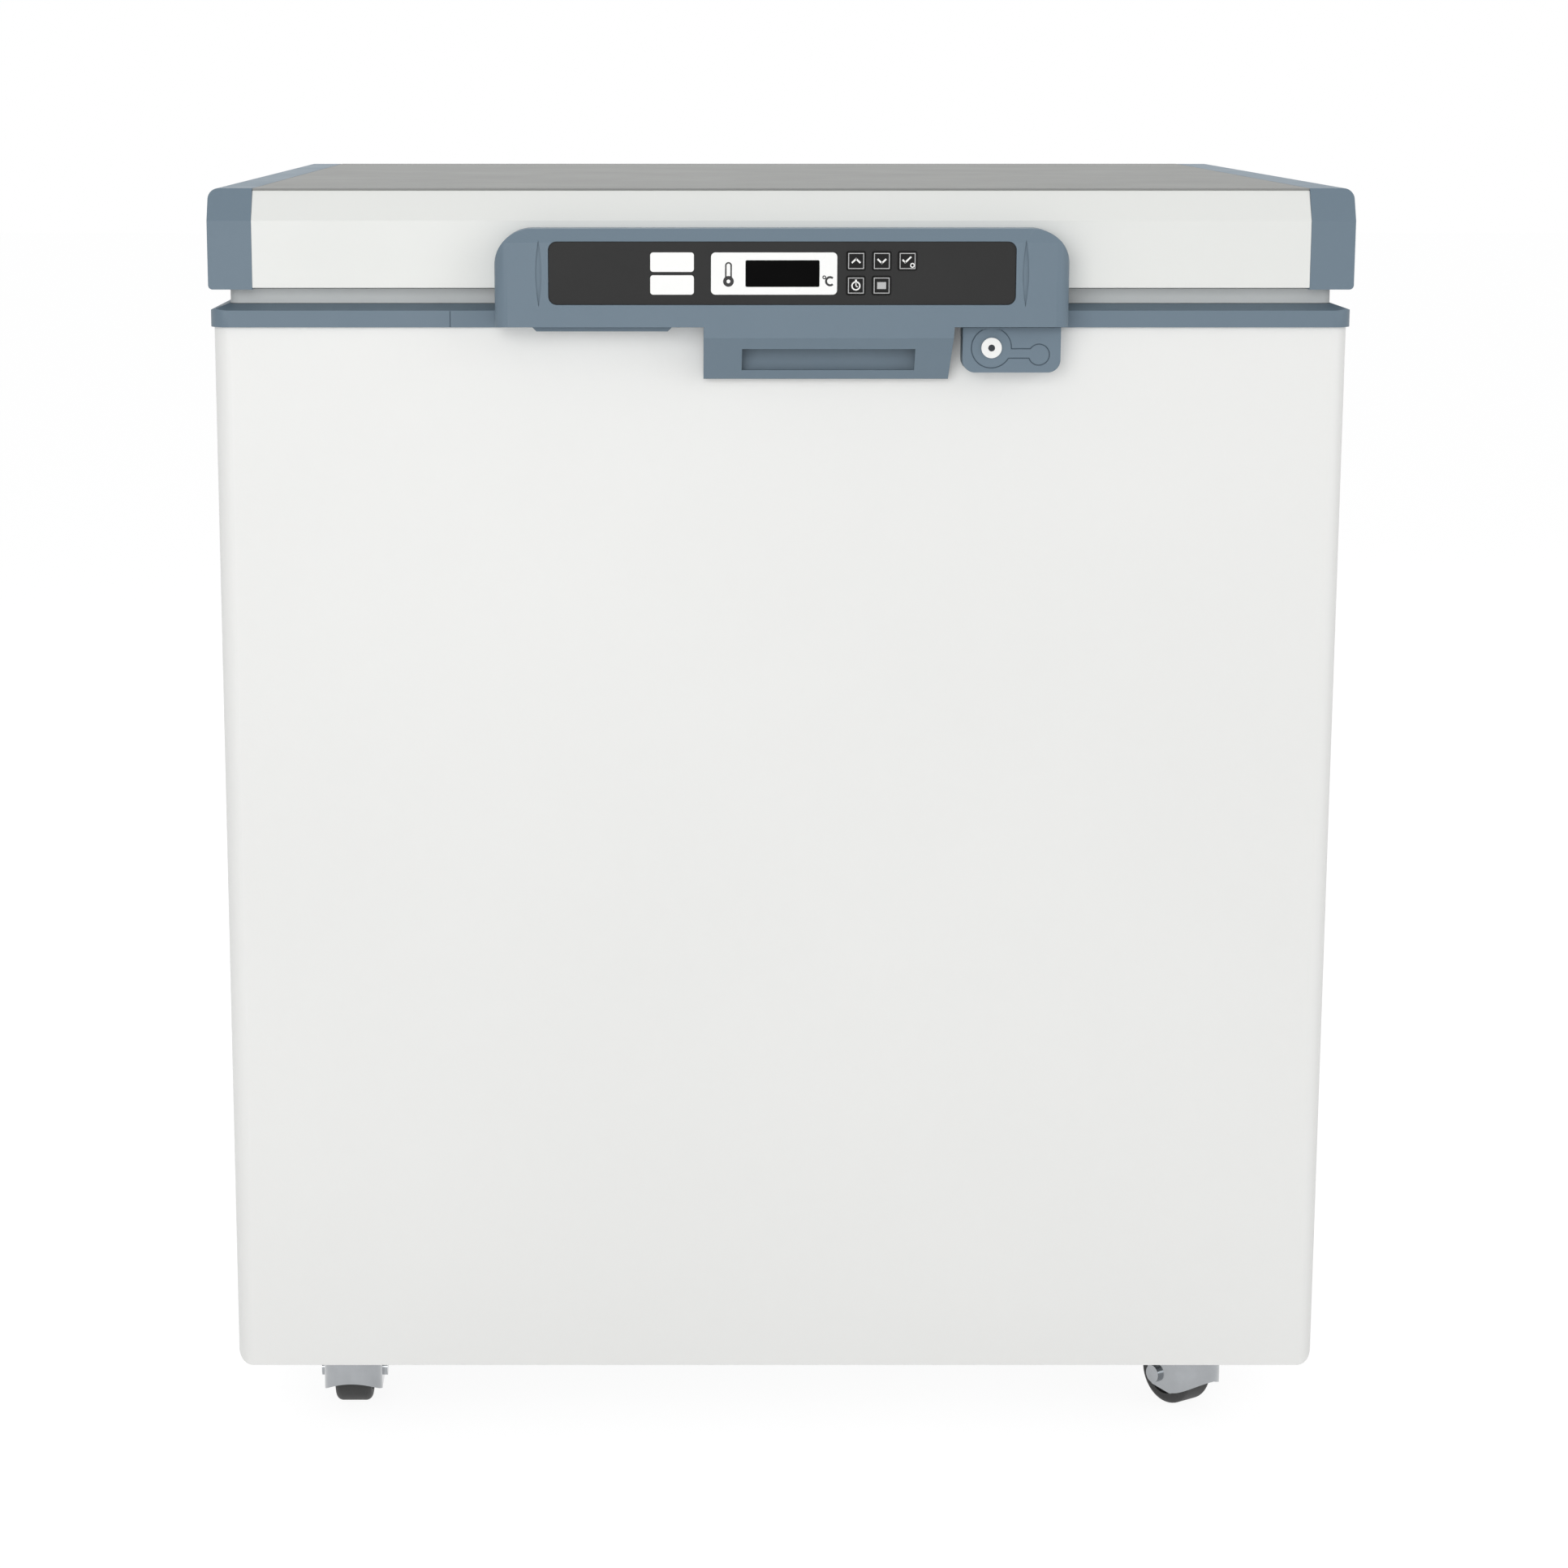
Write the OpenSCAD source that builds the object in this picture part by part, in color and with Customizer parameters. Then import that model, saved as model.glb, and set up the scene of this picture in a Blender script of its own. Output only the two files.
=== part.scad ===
// Small chest-type ultra low temperature freezer on swivel casters.
// X runs to the right, Y to the back, Z up. The floor is Z = 0 and the origin is under the
// middle of the whole machine. All sizes are in millimetres.

/* [Overall] */
// Width across the lid
lid_w = 780; // [700:1:900]
// Depth of the lid from front panel to rear panel
lid_d = 690; // [620:1:740]
// Height of the lid's top above the floor
total_h = 900; // [850:1:960]
// Underside of the cabinet above the floor
cab_z0 = 61; // [59:0.5:75]

/* [Cabinet] */
// How far the lid stands out past the cabinet at each side
side_inset = 2; // [1:0.5:6]
// How far the lid stands out past the cabinet at front and back
end_inset = 3; // [2:0.5:8]
// Thickness of the outer steel sheet
skin = 1.2; // [0.8:0.1:2]
// Radius of the cabinet's upright front edges
edge_r = 12; // [6:1:20]
// Radius of the cabinet's lower corners seen from the front
low_r = 11; // [6:1:18]
// Insulated wall from outside face to tub
wall = 105; // [80:1:130]
// Thickness of the tub sheet
liner_t = 1.5; // [1:0.1:3]
// Radius of the tub's upright corners
liner_r = 20; // [10:1:40]
// Thickness of the base pan
pan_t = 1.5; // [1:0.1:3]
// Width of the turned-in flange under the cabinet
flange_w = 22; // [12:1:36]

/* [Rim and gasket] */
// Height of the rim frame round the cabinet's top
rim_h = 15.4; // [10:0.1:24]
// Width of the rim frame seen from above
rim_w = 38; // [28:1:50]
// Height lost by the rim's sloped outer edge
rim_slope = 4; // [2:0.5:8]
// Wall of the rim frame and breaker frame
rim_t = 3; // [2:0.5:4]
// Corner radius of the rim frame
rim_r = 13; // [8:1:20]
// Place of the thin seam in the rim's front
seam_x = -225.5; // [-300:0.5:-200]
// Height of the lid gasket
gasket_h = 9.9; // [7:0.1:14]
// Width of the lid gasket
gasket_w = 22; // [14:1:30]
// Distance from the lid's edge to the gasket
gasket_in = 13; // [8:1:20]

/* [Lid] */
// Height of the lid's end caps
lid_h = 67.8; // [50:0.1:90]
// Width of each end cap
cap_w = 30; // [20:1:45]
// Wall of an end cap
cap_t = 3; // [2:0.5:5]
// Radius of an end cap's outer top edge
cap_r = 7; // [4:0.5:12]
// Height of the face that leans back above the crease
lean_h = 21.4; // [10:0.1:30]
// How far that face leans back
lean_d = 12; // [5:0.5:20]
// Sheet thickness of the lid's panels
panel_t = 1.5; // [1:0.1:2.5]
// How far the panels stop short of the end caps' undersides
panel_up = 1.1; // [0.5:0.1:2]
// Depth of the lid's plug below its underside
plug_h = 24; // [15:1:24]
// Gap between plug and tub
plug_gap = 7; // [5:0.5:12]
// Thickness of the lid's inner dish
dish_t = 2; // [1.5:0.1:3]

/* [Machine compartment] */
// Inside width of the compartment at the right
mc_w = 215; // [190:1:240]
// Inside height of the compartment
mc_h = 296; // [270:1:330]
// Thickness of the bulkhead sheet
bulk_t = 1.5; // [1:0.1:3]
// Distance of the side grille from the lid's front
grille_in = 40; // [30:1:60]
// Width of the side grille
grille_w = 200; // [150:1:210]
// Height of the side grille's lower edge above the base pan
grille_up = 44; // [30:1:60]
// Height of the side grille
grille_h = 216; // [150:1:225]
// Distance of the rear grille from the bulkhead
rgr_in = 22; // [15:1:35]
// Distance of the rear grille from the cabinet's side
rgr_side = 18; // [15:1:30]
// Height of the rear grille's lower edge above the base pan
rgr_up = 70; // [60:1:90]
// Height of the rear grille
rgr_h = 200; // [150:1:205]
// Distance of the power inlet's middle from the bulkhead
inlet_in = 45; // [30:1:60]
// Height of the power inlet's middle above the base pan
inlet_up = 36; // [20:1:42]
// Distance of the condenser's end plates from the compartment's sides
cond_in = 28; // [26:1:34]
// Distance of the condenser from the lid's front
cond_from = 200; // [180:1:210]
// Depth of the condenser
cond_d = 66; // [50:1:70]
// Height of the condenser
cond_h = 236; // [200:1:270]
// Height of the fan's axis above the base pan
fan_up = 130; // [110:1:140]
// Tip radius of the fan
fan_r = 68; // [50:0.5:70]
// Length of the fan motor
motor_l = 38; // [30:1:45]
// Distance of the compressor's axis from the lid's rear
comp_from = 205; // [195:1:215]
// Radius of the compressor
comp_r = 78; // [60:0.5:80]
// Height of the compressor
comp_h = 190; // [160:1:220]
// Height of the filter drier above the base pan
drier_up = 90; // [80:1:110]
// Height of the control box above the base pan
box_up = 140; // [120:1:160]
// Radius of the refrigerant lines
line_r = 4; // [3:0.1:4.2]

/* [Tub fittings] */
// Height of the lowest coil loop above the tub's floor
coil_up = 70; // [50:1:90]
// Height of the first coil loop above the step
coil_step = 60; // [50:1:70]
// Distance of the top coil loop below the rim frame
coil_top = 40; // [35:1:70]
// Radius of the coil's tube
coil_r = 4; // [3:0.1:5]
// Place of the access port across the machine
port_x = -150; // [-200:1:-120]
// Radius of the access port's sleeve
port_r = 12; // [8:0.5:14]
// Distance between the loops above and below the access port
port_gap = 65; // [50:1:80]

/* [Handle housing] */
// Width of the handle housing
hous_w = 388; // [340:1:420]
// How far the housing stands out in front of the lid
hous_d = 28; // [22:0.5:34]
// Height of the housing's underside below the lid's top
hous_low = 91.4; // [85:0.1:100]
// Height of the housing's upper edge below the lid's top
hous_top = 25.9; // [23:0.1:30]
// Radius of the housing's upper corners
hous_r = 25; // [10:1:30]
// Wall of the moulded housing
hous_t = 3; // [2:0.5:4]
// Distance of the grip tongue from the housing's left end
tongue_l = 141.3; // [125:0.1:155]
// Distance of the grip tongue from the housing's right end
tongue_r = 77.3; // [74:0.1:95]
// Height of the grip tongue below the housing
tongue_h = 36.6; // [28:0.1:44]
// Upright part of the tongue's front above its slope
tongue_up = 7.3; // [4:0.1:12]
// Side margin between tongue edge and finger slot
slot_side = 26; // [18:0.5:34]
// Height of the finger slot's lower edge above the tongue's end
slot_low = 6.4; // [5:0.1:8]
// Height of the finger slot
slot_h = 15.1; // [12:0.1:17]
// Radius of the lens-shaped grooves' arcs
groove_r = 120; // [90:1:180]
// Depth of the lens-shaped grooves
groove_d = 1.2; // [0.5:0.1:1.5]
// Distance of each groove's middle from the housing's end
groove_in = 30; // [20:0.5:32]
// Distance of the lower lip from the housing's left end
lip_in = 24.6; // [15:0.1:40]
// Width of the lower lip
lip_w = 95.8; // [70:0.1:100]
// Height of the lower lip
lip_h = 3.4; // [2:0.1:5]

/* [Control panel] */
// Distance of the dark fascia from the housing's ends
fascia_side = 36.8; // [34:0.1:44]
// Height of the dark fascia
fascia_h = 41.8; // [38:0.1:44]
// Lower edge of the fascia below the lid's top
fascia_low = 76.2; // [74:0.1:79]
// Corner radius of the fascia
fascia_r = 5.5; // [2:0.5:8]
// Thickness of the fascia
fascia_t = 2.5; // [2:0.1:4]
// Depth of the fascia's face behind the housing's face
fascia_in = 0.8; // [0.3:0.1:1.5]
// Lower edge of the windows below the lid's top
row_low = 69.6; // [68:0.1:71]
// Height of the display bezel
bezel_h = 28.2; // [26:0.1:30]
// Left edge of the display bezel
bezel_x0 = -47.9; // [-50:0.1:-45]
// Width of the display bezel
bezel_w = 84.9; // [80:0.1:86]
// Left edge of the display window
window_x0 = -24.4; // [-28:0.1:-22]
// Width of the display window
window_w = 49.3; // [45:0.1:52]
// Height of the display window
window_h = 17.3; // [15:0.1:19]
// Left edge of the indicator windows
lamp_x0 = -88.8; // [-92:0.1:-85]
// Width of the indicator windows
lamp_w = 29.4; // [26:0.1:31]
// Height of each indicator window
lamp_h = 13; // [11:0.1:13.5]
// Side of a square key
key_s = 12.3; // [10:0.1:13]
// Left edge of the first key column
key_x0 = 43.5; // [42:0.1:46]
// Distance between key columns
key_dx = 17.3; // [16.6:0.1:20]
// Distance between key rows
key_dz = 16.4; // [15.8:0.1:18]
// Travel of a key
key_travel = 0.5; // [0.3:0.1:0.8]

/* [Lock] */
// Distance of the lock housing's right side from the handle housing's right end
lock_in = 4.5; // [0:0.5:6]
// Width of the lock housing
lock_w = 66.5; // [60:0.5:70]
// Height of the lock housing
lock_h = 30.3; // [26:0.1:36]
// How far the lock housing stands out from the cabinet
lock_d = 20; // [18:0.5:23]
// Wall of the lock housing
lock_t = 2.5; // [2:0.1:3]
// Radius of the lock housing's lower corners
lock_r = 8.5; // [5:0.5:10]
// Distance of the key cylinder from the housing's left edge
cyl_x = 19.5; // [17:0.5:24]
// Distance of the key cylinder below the housing's top
cyl_z = 13.6; // [12.9:0.1:15]
// Radius of the key cylinder's face ring
ring_r = 6.9; // [6.5:0.1:8]
// Radius of the key cylinder's barrel
barrel_r = 6; // [5:0.1:6.2]
// Reach of the lock cam from the cylinder's axis
cam_r = 10.4; // [9:0.1:10.5]

/* [Hinges] */
// Distance of each hinge from the middle
hinge_x = 235; // [180:1:270]
// Distance of the pivot behind the lid's rear panel
pivot_back = 11; // [10.5:0.5:16]
// Height of the pivot above the rim's top
pivot_up = 7; // [4:0.5:10]
// Radius of the hinge pin
pin_r = 4; // [3:0.5:5]
// Radius of the bracket ears round the pin
ear_r = 9; // [7:0.5:10]
// Width of a hinge between its outer faces
hinge_w = 58; // [50:1:70]
// Thickness of hinge plates and ears
hinge_t = 4; // [3:0.5:5]

/* [Casters] */
// Distance of a caster's swivel axis from the cabinet's side
caster_in = 76; // [60:1:100]
// Distance of a caster's swivel axis from the cabinet's front and back
caster_end = 81; // [70:1:110]
// Radius of the wheels
wheel_r = 25; // [22:0.5:25.5]
// Width of the wheels
wheel_w = 27; // [20:0.5:30]
// Distance of the axle behind the swivel axis
trail = 15; // [10:0.5:20]
// Radius of the fork's round nose
hood_r = 21.5; // [19:0.5:26]
// Thickness of the fork's sheet
fork_t = 2; // [1.5:0.1:3]
// Radius of the axle
axle_r = 4; // [3:0.5:5]
// Side of the square top plate
plate_s = 62; // [56:1:80]
// Thickness of the top plate
plate_t = 3; // [2:0.5:4]
// Swivel angle of the right front caster in the rest pose
turned = 35; // [-60:1:60]

/* [Clearances] */
// Gap between seated pieces
seat = 0.3; // [0.3:0.1:0.5]
// Radial clearance of a running fit
run_fit = 0.05; // [0.03:0.01:0.09]

/* [Hidden] */
$fn = 48;
eps = 1;
rear_reach = pivot_back + ear_r;
y0 = -(hous_d + lid_d + rear_reach) / 2 + hous_d;
y1 = y0 + lid_d;
cab_w = lid_w - 2 * side_inset;
cx = cab_w / 2;
cy0 = y0 + end_inset;
cy1 = y1 - end_inset;
lid_z = total_h - lid_h;
rim_top = lid_z - gasket_h - seat;
rim_z = rim_top - rim_h;
pan_z = cab_z0 + skin;
pan_top = pan_z + pan_t;
mc_x = cx - skin - mc_w;
mc_top = pan_top + mc_h;
tub_x = cx - wall;
tub_y0 = cy0 + wall;
tub_y1 = cy1 - wall;
tub_z0 = cab_z0 + wall;
tub_zs = mc_top + wall;
tub_xs = mc_x - wall;
coil_dz = (tub_zs - tub_z0 - coil_up - 80) / 2;
coil_z = tub_zs + coil_step + port_gap;
coil_dzu = (rim_z - coil_top - coil_z) / 2;
coil_gap = 2 * coil_r + 2 * seat;
pivot_y = y1 + pivot_back;
pivot_z = rim_top + pivot_up;
hous_z0 = total_h - hous_low;
hous_z1 = total_h - hous_top;
hous_y = y0 - hous_d;
tongue_x0 = -hous_w / 2 + tongue_l;
tongue_x1 = hous_w / 2 - tongue_r;
groove_x = hous_w / 2 - groove_in;
lip_x0 = -hous_w / 2 + lip_in;
lip_x1 = lip_x0 + lip_w;
fascia_w = hous_w - 2 * fascia_side;
tongue_z = hous_z0 - tongue_h;
tongue_zc = hous_z0 - tongue_up;
fascia_z = total_h - fascia_low;
fascia_y = hous_y + fascia_in;
row_z = total_h - row_low;
board_y = fascia_y + fascia_t + 6;
lock_x0 = hous_w / 2 - lock_in - lock_w;
lock_z1 = hous_z0 - 1;
lock_z0 = lock_z1 - lock_h;
lock_y = cy0 - lock_d;
cyl_px = lock_x0 + cyl_x;
cyl_pz = lock_z1 - cyl_z;
cam_y = lock_y + 8;
cam_t = 2.5;
hook_x = cyl_px + cam_r + 1;
caster_x = cx - caster_in;
caster_y0 = cy0 + caster_end;
caster_y1 = cy1 - caster_end;
plate_z = pan_z - plate_t;
fork_z = plate_z - 4.5;
port_z = tub_zs + coil_step + port_gap / 2;
grille_y0 = y0 + grille_in;
grille_y1 = grille_y0 + grille_w;
grille_z0 = pan_top + grille_up;
grille_z1 = grille_z0 + grille_h;
rgr_x0 = mc_x + rgr_in;
rgr_x1 = cx - rgr_side;
rgr_z0 = pan_top + rgr_up;
rgr_z1 = rgr_z0 + rgr_h;
inlet_x = mc_x + inlet_in;
inlet_z = pan_top + inlet_up;
fan_x = mc_x + mc_w / 2;
fan_z = pan_top + fan_up;
cond_x0 = mc_x + cond_in;
cond_x1 = mc_x + mc_w - cond_in;
cond_y0 = y0 + cond_from;
shroud_y = cond_y0 + cond_d + 4;
shroud_t = 2;
motor_y = shroud_y + 70;
comp_y = y1 - comp_from;
foot_h = 14;
foot_x = comp_r - 4;
foot_y = comp_r - 20;
term_z = 60;
term_h = 52;
term_w = 48;
hot_z = 130;
cold_x = 34;
tube_r = 4.5;
tube_dz = (cond_h - 68) / 6;
row0_z = pan_top + 32;
row6_z = row0_z + 6 * tube_dz;
cond_tube_y = cond_y0 + cond_d / 2;
shaft_r = 3;
line_top = pan_top + cond_h + line_r + 4;
drier_z = pan_top + drier_up;
drier_x = mc_x + rgr_in;
drier_y = motor_y + motor_l + 2;
box_z = pan_top + box_up;
hook_t = 3;
lip = 4.4;
lip_z = cyl_pz - 9;
bolt_x = 23;
nut_h = 4;
fork_top = 2.5;
arch_z = 24;
arch_r = 29;
cap_x = lid_w / 2 - cap_w;
tongue_s = (tongue_zc - tongue_z) / (y0 - 4 - hous_y);
groove_w = 4.2;
KEYS = [[0, 1], [1, 1], [2, 1], [0, 0], [1, 0]];
CASTERS = [
  [-caster_x, caster_y0, 0], [caster_x, caster_y0, turned],
  [-caster_x, caster_y1, 0], [caster_x, caster_y1, 0]
];

// Extrudes a profile drawn in X and Z from ya to yb.
module along_y(ya, yb) {
  translate([0, yb, 0]) rotate([90, 0, 0]) linear_extrude(yb - ya) children();
}

// Extrudes a profile drawn in Y and Z from xa to xb.
module along_x(xa, xb) {
  translate([xa, 0, 0]) rotate([90, 0, 90]) linear_extrude(xb - xa) children();
}

// Extrudes a profile drawn in X and Y from za to zb.
module along_z(za, zb) {
  translate([0, 0, za]) linear_extrude(zb - za) children();
}

// Box between two corners.
module span(a, b) {
  translate(a) cube(b - a);
}

// Rectangle between two corners with four rounded corners.
module rrect(ax, ay, bx, by, r) {
  translate([ax + r, ay]) square([bx - ax - 2 * r, by - ay]);
  translate([ax, ay + r]) square([bx - ax, by - ay - 2 * r]);
  for (x = [ax + r, bx - r], y = [ay + r, by - r])
    translate([x, y]) circle(r);
}

// Rectangle whose two lower corners are rounded.
module urect(ax, ay, bx, by, r) {
  translate([ax, ay + r]) square([bx - ax, by - ay - r]);
  translate([ax + r, ay]) square([bx - ax - 2 * r, r + 0.01]);
  for (x = [ax + r, bx - r])
    translate([x, ay + r]) circle(r);
}

// Rod between two heights on an upright axis.
module post(x, y, za, zb, r) {
  translate([x, y, za]) cylinder(h = zb - za, r = r);
}

// Rod along Y.
module rod_y(x, z, ya, yb, r) {
  translate([x, yb, z]) rotate([90, 0, 0]) cylinder(h = yb - ya, r = r);
}

// Rod along X.
module rod_x(y, z, xa, xb, r) {
  translate([xa, y, z]) rotate([0, 90, 0]) cylinder(h = xb - xa, r = r);
}

// The cabinet's outside form, moved inwards on every closed side.
module cabinet_form(inset, yb, za, zb) {
  intersection() {
    along_z(za, zb) urect(-cx + inset, cy0 + inset, cx - inset, yb, edge_r - inset);
    along_y(cy0, yb) urect(-cx + inset, cab_z0 + inset, cx - inset, total_h, low_r - inset);
  }
}

module outer_wrap() {
  color("white") difference() {
    cabinet_form(0, cy1, cab_z0, rim_z);
    cabinet_form(skin, cy1 + eps, cab_z0, total_h);
    span([-cx + flange_w, cy0 + flange_w, cab_z0 - eps], [cx - flange_w, cy1 + eps, pan_z + eps]);
    span([cx - skin - eps, grille_y0, grille_z0], [cx + eps, grille_y1, grille_z1]);
  }
}

module base_pan() {
  color("silver") difference() {
    span([-cx + low_r + seat, cy0 + skin + seat, pan_z], [cx - low_r - seat, cy1 - skin, pan_top]);
    for (i = [0 : 5])
      span([mc_x + 40, y0 + 60 + i * 22, pan_z - eps], [cx - 60, y0 + 68 + i * 22, pan_top + eps]);
    for (c = CASTERS, x = [-bolt_x, bolt_x], y = [-bolt_x, bolt_x])
      post(c[0] + x, c[1] + y, pan_z - eps, pan_top + eps, 3.2);
  }
}

module back_panel() {
  color("white") difference() {
    along_y(cy1 - skin, cy1)
      urect(-cx + skin + seat, pan_z, cx - skin - seat, rim_z, low_r);
    span([rgr_x0, cy1 - skin - eps, rgr_z0], [rgr_x1, cy1 + eps, rgr_z1]);
    span([inlet_x - 14, cy1 - skin - eps, inlet_z - 10], [inlet_x + 14, cy1 + eps, inlet_z + 10]);
    rod_y(port_x, port_z, cy1 - skin - eps, cy1 + eps, port_r + seat);
  }
}

module bulkhead() {
  color("silver") intersection() {
    cabinet_form(skin + seat, cy1 - skin, pan_top, rim_z);
    along_y(cy0, cy1) polygon([
      [mc_x - bulk_t, cab_z0], [mc_x, cab_z0], [mc_x, mc_top], [cx, mc_top],
      [cx, mc_top + bulk_t], [mc_x - bulk_t, mc_top + bulk_t]
    ]);
  }
}

// The stepped tub's outside form, grown by g on every side.
module tub_form(g, zt) {
  along_z(tub_z0 - g, zt) rrect(-tub_x - g, tub_y0 - g, tub_xs + g, tub_y1 + g, liner_r + g);
  along_z(tub_zs - g, zt) rrect(-tub_x - g, tub_y0 - g, tub_x + g, tub_y1 + g, liner_r + g);
}

module inner_liner() {
  color("gainsboro") difference() {
    union() {
      tub_form(0, rim_z);
      along_z(rim_z - liner_t, rim_z)
        rrect(-tub_x - 16, tub_y0 - 16, tub_x + 16, tub_y1 + 16, liner_r + 16);
    }
    tub_form(-liner_t, rim_z + eps);
    rod_y(port_x, port_z, tub_y1 - 5, tub_y1 + 5, port_r + seat);
  }
}

module foam_body() {
  color("khaki") difference() {
    cabinet_form(skin + seat, cy1 - skin, pan_top, rim_z);
    span([mc_x - bulk_t, cy0, cab_z0], [cx + eps, cy1, mc_top + bulk_t]);
    tub_form(coil_gap, rim_z - liner_t - 20);
    along_z(rim_z - liner_t - 21, rim_z + eps)
      rrect(-tub_x - seat, tub_y0 - seat, tub_x + seat, tub_y1 + seat, liner_r + seat);
    along_z(rim_z - liner_t, rim_z + eps)
      rrect(-tub_x - 16.3, tub_y0 - 16.3, tub_x + 16.3, tub_y1 + 16.3, liner_r + 16);
    rod_y(port_x, port_z, tub_y1, cy1 + eps, port_r + seat);
    for (c = CASTERS, x = [-bolt_x, bolt_x], y = [-bolt_x, bolt_x])
      post(c[0] + x, c[1] + y, pan_top - eps, pan_top + nut_h + seat, 6);
  }
}

// Copper tube wound round the tub's lower and upper parts.
module loop(xa, xb, z) {
  g = coil_r + seat;
  r = liner_r + g;
  rod_x(tub_y0 - g, z, xa - g + r, xb + g - r, coil_r);
  rod_x(tub_y1 + g, z, xa - g + r, xb + g - r, coil_r);
  rod_y(xa - g, z, tub_y0 - g + r, tub_y1 + g - r, coil_r);
  rod_y(xb + g, z, tub_y0 - g + r, tub_y1 + g - r, coil_r);
  for (c = [[xa - g + r, tub_y0 - g + r, 180], [xb + g - r, tub_y0 - g + r, 270],
            [xb + g - r, tub_y1 + g - r, 0], [xa - g + r, tub_y1 + g - r, 90]])
    translate([c[0], c[1], z]) rotate([0, 0, c[2]])
      rotate_extrude(angle = 90) translate([r, 0]) circle(coil_r);
}

module evaporator_coil() {
  color("peru") {
    for (i = [0 : 2]) loop(-tub_x, tub_xs, tub_z0 + coil_up + i * coil_dz);
    loop(-tub_x, tub_x, tub_zs + coil_step);
    for (i = [0 : 2]) loop(-tub_x, tub_x, coil_z + i * coil_dzu);
  }
}

// Ring between the rim frame and the tub's mouth, hollow underneath.
module breaker_frame() {
  o = lid_w / 2 - rim_w - seat;
  m = tub_x - liner_t;
  color("lightgray") difference() {
    along_z(rim_z, rim_top) rrect(-o, y0 + rim_w + seat, o, y1 - rim_w - seat, 4);
    along_z(rim_z - eps, rim_top + eps)
      rrect(-m, tub_y0 + liner_t, m, tub_y1 - liner_t, liner_r - liner_t);
    difference() {
      along_z(rim_z - eps, rim_top - rim_t)
        rrect(-o + rim_t, y0 + rim_w + seat + rim_t, o - rim_t, y1 - rim_w - seat - rim_t, 3);
      along_z(rim_z - 2 * eps, rim_top)
        rrect(-m - rim_t, tub_y0 + liner_t - rim_t, m + rim_t, tub_y1 - liner_t + rim_t, liner_r + rim_t);
    }
  }
}

// Profile of the rim frame across the machine, sloped at both outer edges.
module rim_side(a, b, run) {
  polygon([
    [a, rim_z], [b, rim_z], [b, rim_top - rim_slope], [b - run, rim_top],
    [a + run, rim_top], [a, rim_top - rim_slope]
  ]);
}

module rim_frame() {
  l = lid_w / 2;
  color("slategray") difference() {
    intersection() {
      along_z(rim_z, rim_top) rrect(-l, y0, l, y1, rim_r);
      along_y(y0 - eps, y1 + eps) rim_side(-l, l, gasket_in - 1);
      along_x(-l - eps, l + eps) rim_side(y0, y1, gasket_in - 1);
    }
    along_z(rim_z - eps, rim_top + eps) rrect(-l + rim_w, y0 + rim_w, l - rim_w, y1 - rim_w, 4);
    difference() {
      along_z(rim_z - eps, rim_top - rim_slope - rim_t)
        rrect(-l + rim_t, y0 + rim_t, l - rim_t, y1 - rim_t, rim_r - rim_t);
      along_z(rim_z - 2 * eps, rim_top)
        rrect(-l + rim_w - rim_t, y0 + rim_w - rim_t, l - rim_w + rim_t, y1 - rim_w + rim_t, 6);
    }
    span([seam_x - 0.3, y0 - eps, rim_z - eps], [seam_x + 0.3, y0 + 0.5, rim_top + eps]);
  }
}

// Louvred panel: X across, Z up, outer sheet face at Y = 0 and open air towards +Y.
module louvre(w, h) {
  b = 2.5;
  d = 9;
  difference() {
    union() {
      span([-w / 2 - 8, 0, -8], [w / 2 + 8, 1.5, h + 8]);
      span([-w / 2 + seat, -d, seat], [w / 2 - seat, 0.1, h - seat]);
    }
    span([-w / 2 + b, -d - eps, b], [w / 2 - b, 2.5, h - b]);
  }
  pitch = 16;
  n = floor((h - 2 * b) / pitch);
  for (i = [0 : n - 1])
    along_x(-w / 2 + b - 0.5, w / 2 - b + 0.5) polygon([
      [1.5, b + i * pitch + 2], [1.5, b + i * pitch + 4], [-7, b + i * pitch + 13], [-7, b + i * pitch + 11]
    ]);
}

module side_grille() {
  color("white") translate([cx, (grille_y0 + grille_y1) / 2, grille_z0]) rotate([0, 0, -90])
    louvre(grille_y1 - grille_y0, grille_z1 - grille_z0);
}

module rear_grille() {
  color("white") translate([(rgr_x0 + rgr_x1) / 2, cy1, rgr_z0])
    louvre(rgr_x1 - rgr_x0, rgr_z1 - rgr_z0);
}

module compressor() {
  r = comp_r;
  e = 42;
  z = pan_top + foot_h + 3;
  color("dimgray") translate([fan_x, comp_y, 0]) {
    post(0, 0, z - 0.5, z + e, r - 8);
    post(0, 0, z + 12, z + comp_h - 38, r);
    post(0, 0, z + comp_h / 2 - 4, z + comp_h / 2 + 4, r + 4);
    intersection() {
      translate([0, 0, z + comp_h - 0.9 * r - 34]) sphere(r * 1.3);
      post(0, 0, z + comp_h - 40, z + comp_h, r - 2);
    }
    difference() {
      span([-foot_x - 14, -foot_y - 12, z - 3], [foot_x + 14, foot_y + 12, z]);
      for (x = [-foot_x, foot_x], y = [-foot_y, foot_y]) post(x, y, z - 4, z + 1, 4.2);
    }
    span([-r - 14, -term_w / 2, z + term_z], [-r + 12, term_w / 2, z + term_z + term_h]);
    rod_y(0, z + hot_z, -r - 14, -r + 16, 5);
    rod_y(-cold_x, z + term_z, r - 26, r + 12, 6);
  }
}

module compressor_feet() {
  color("black") translate([fan_x, comp_y, 0]) for (x = [-foot_x, foot_x], y = [-foot_y, foot_y]) {
    post(x, y, pan_top, pan_top + foot_h, 12);
    post(x, y, pan_top, pan_top + foot_h + 3, 4);
    post(x, y, pan_top + foot_h + 3, pan_top + foot_h + 7, 8);
  }
}

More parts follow.
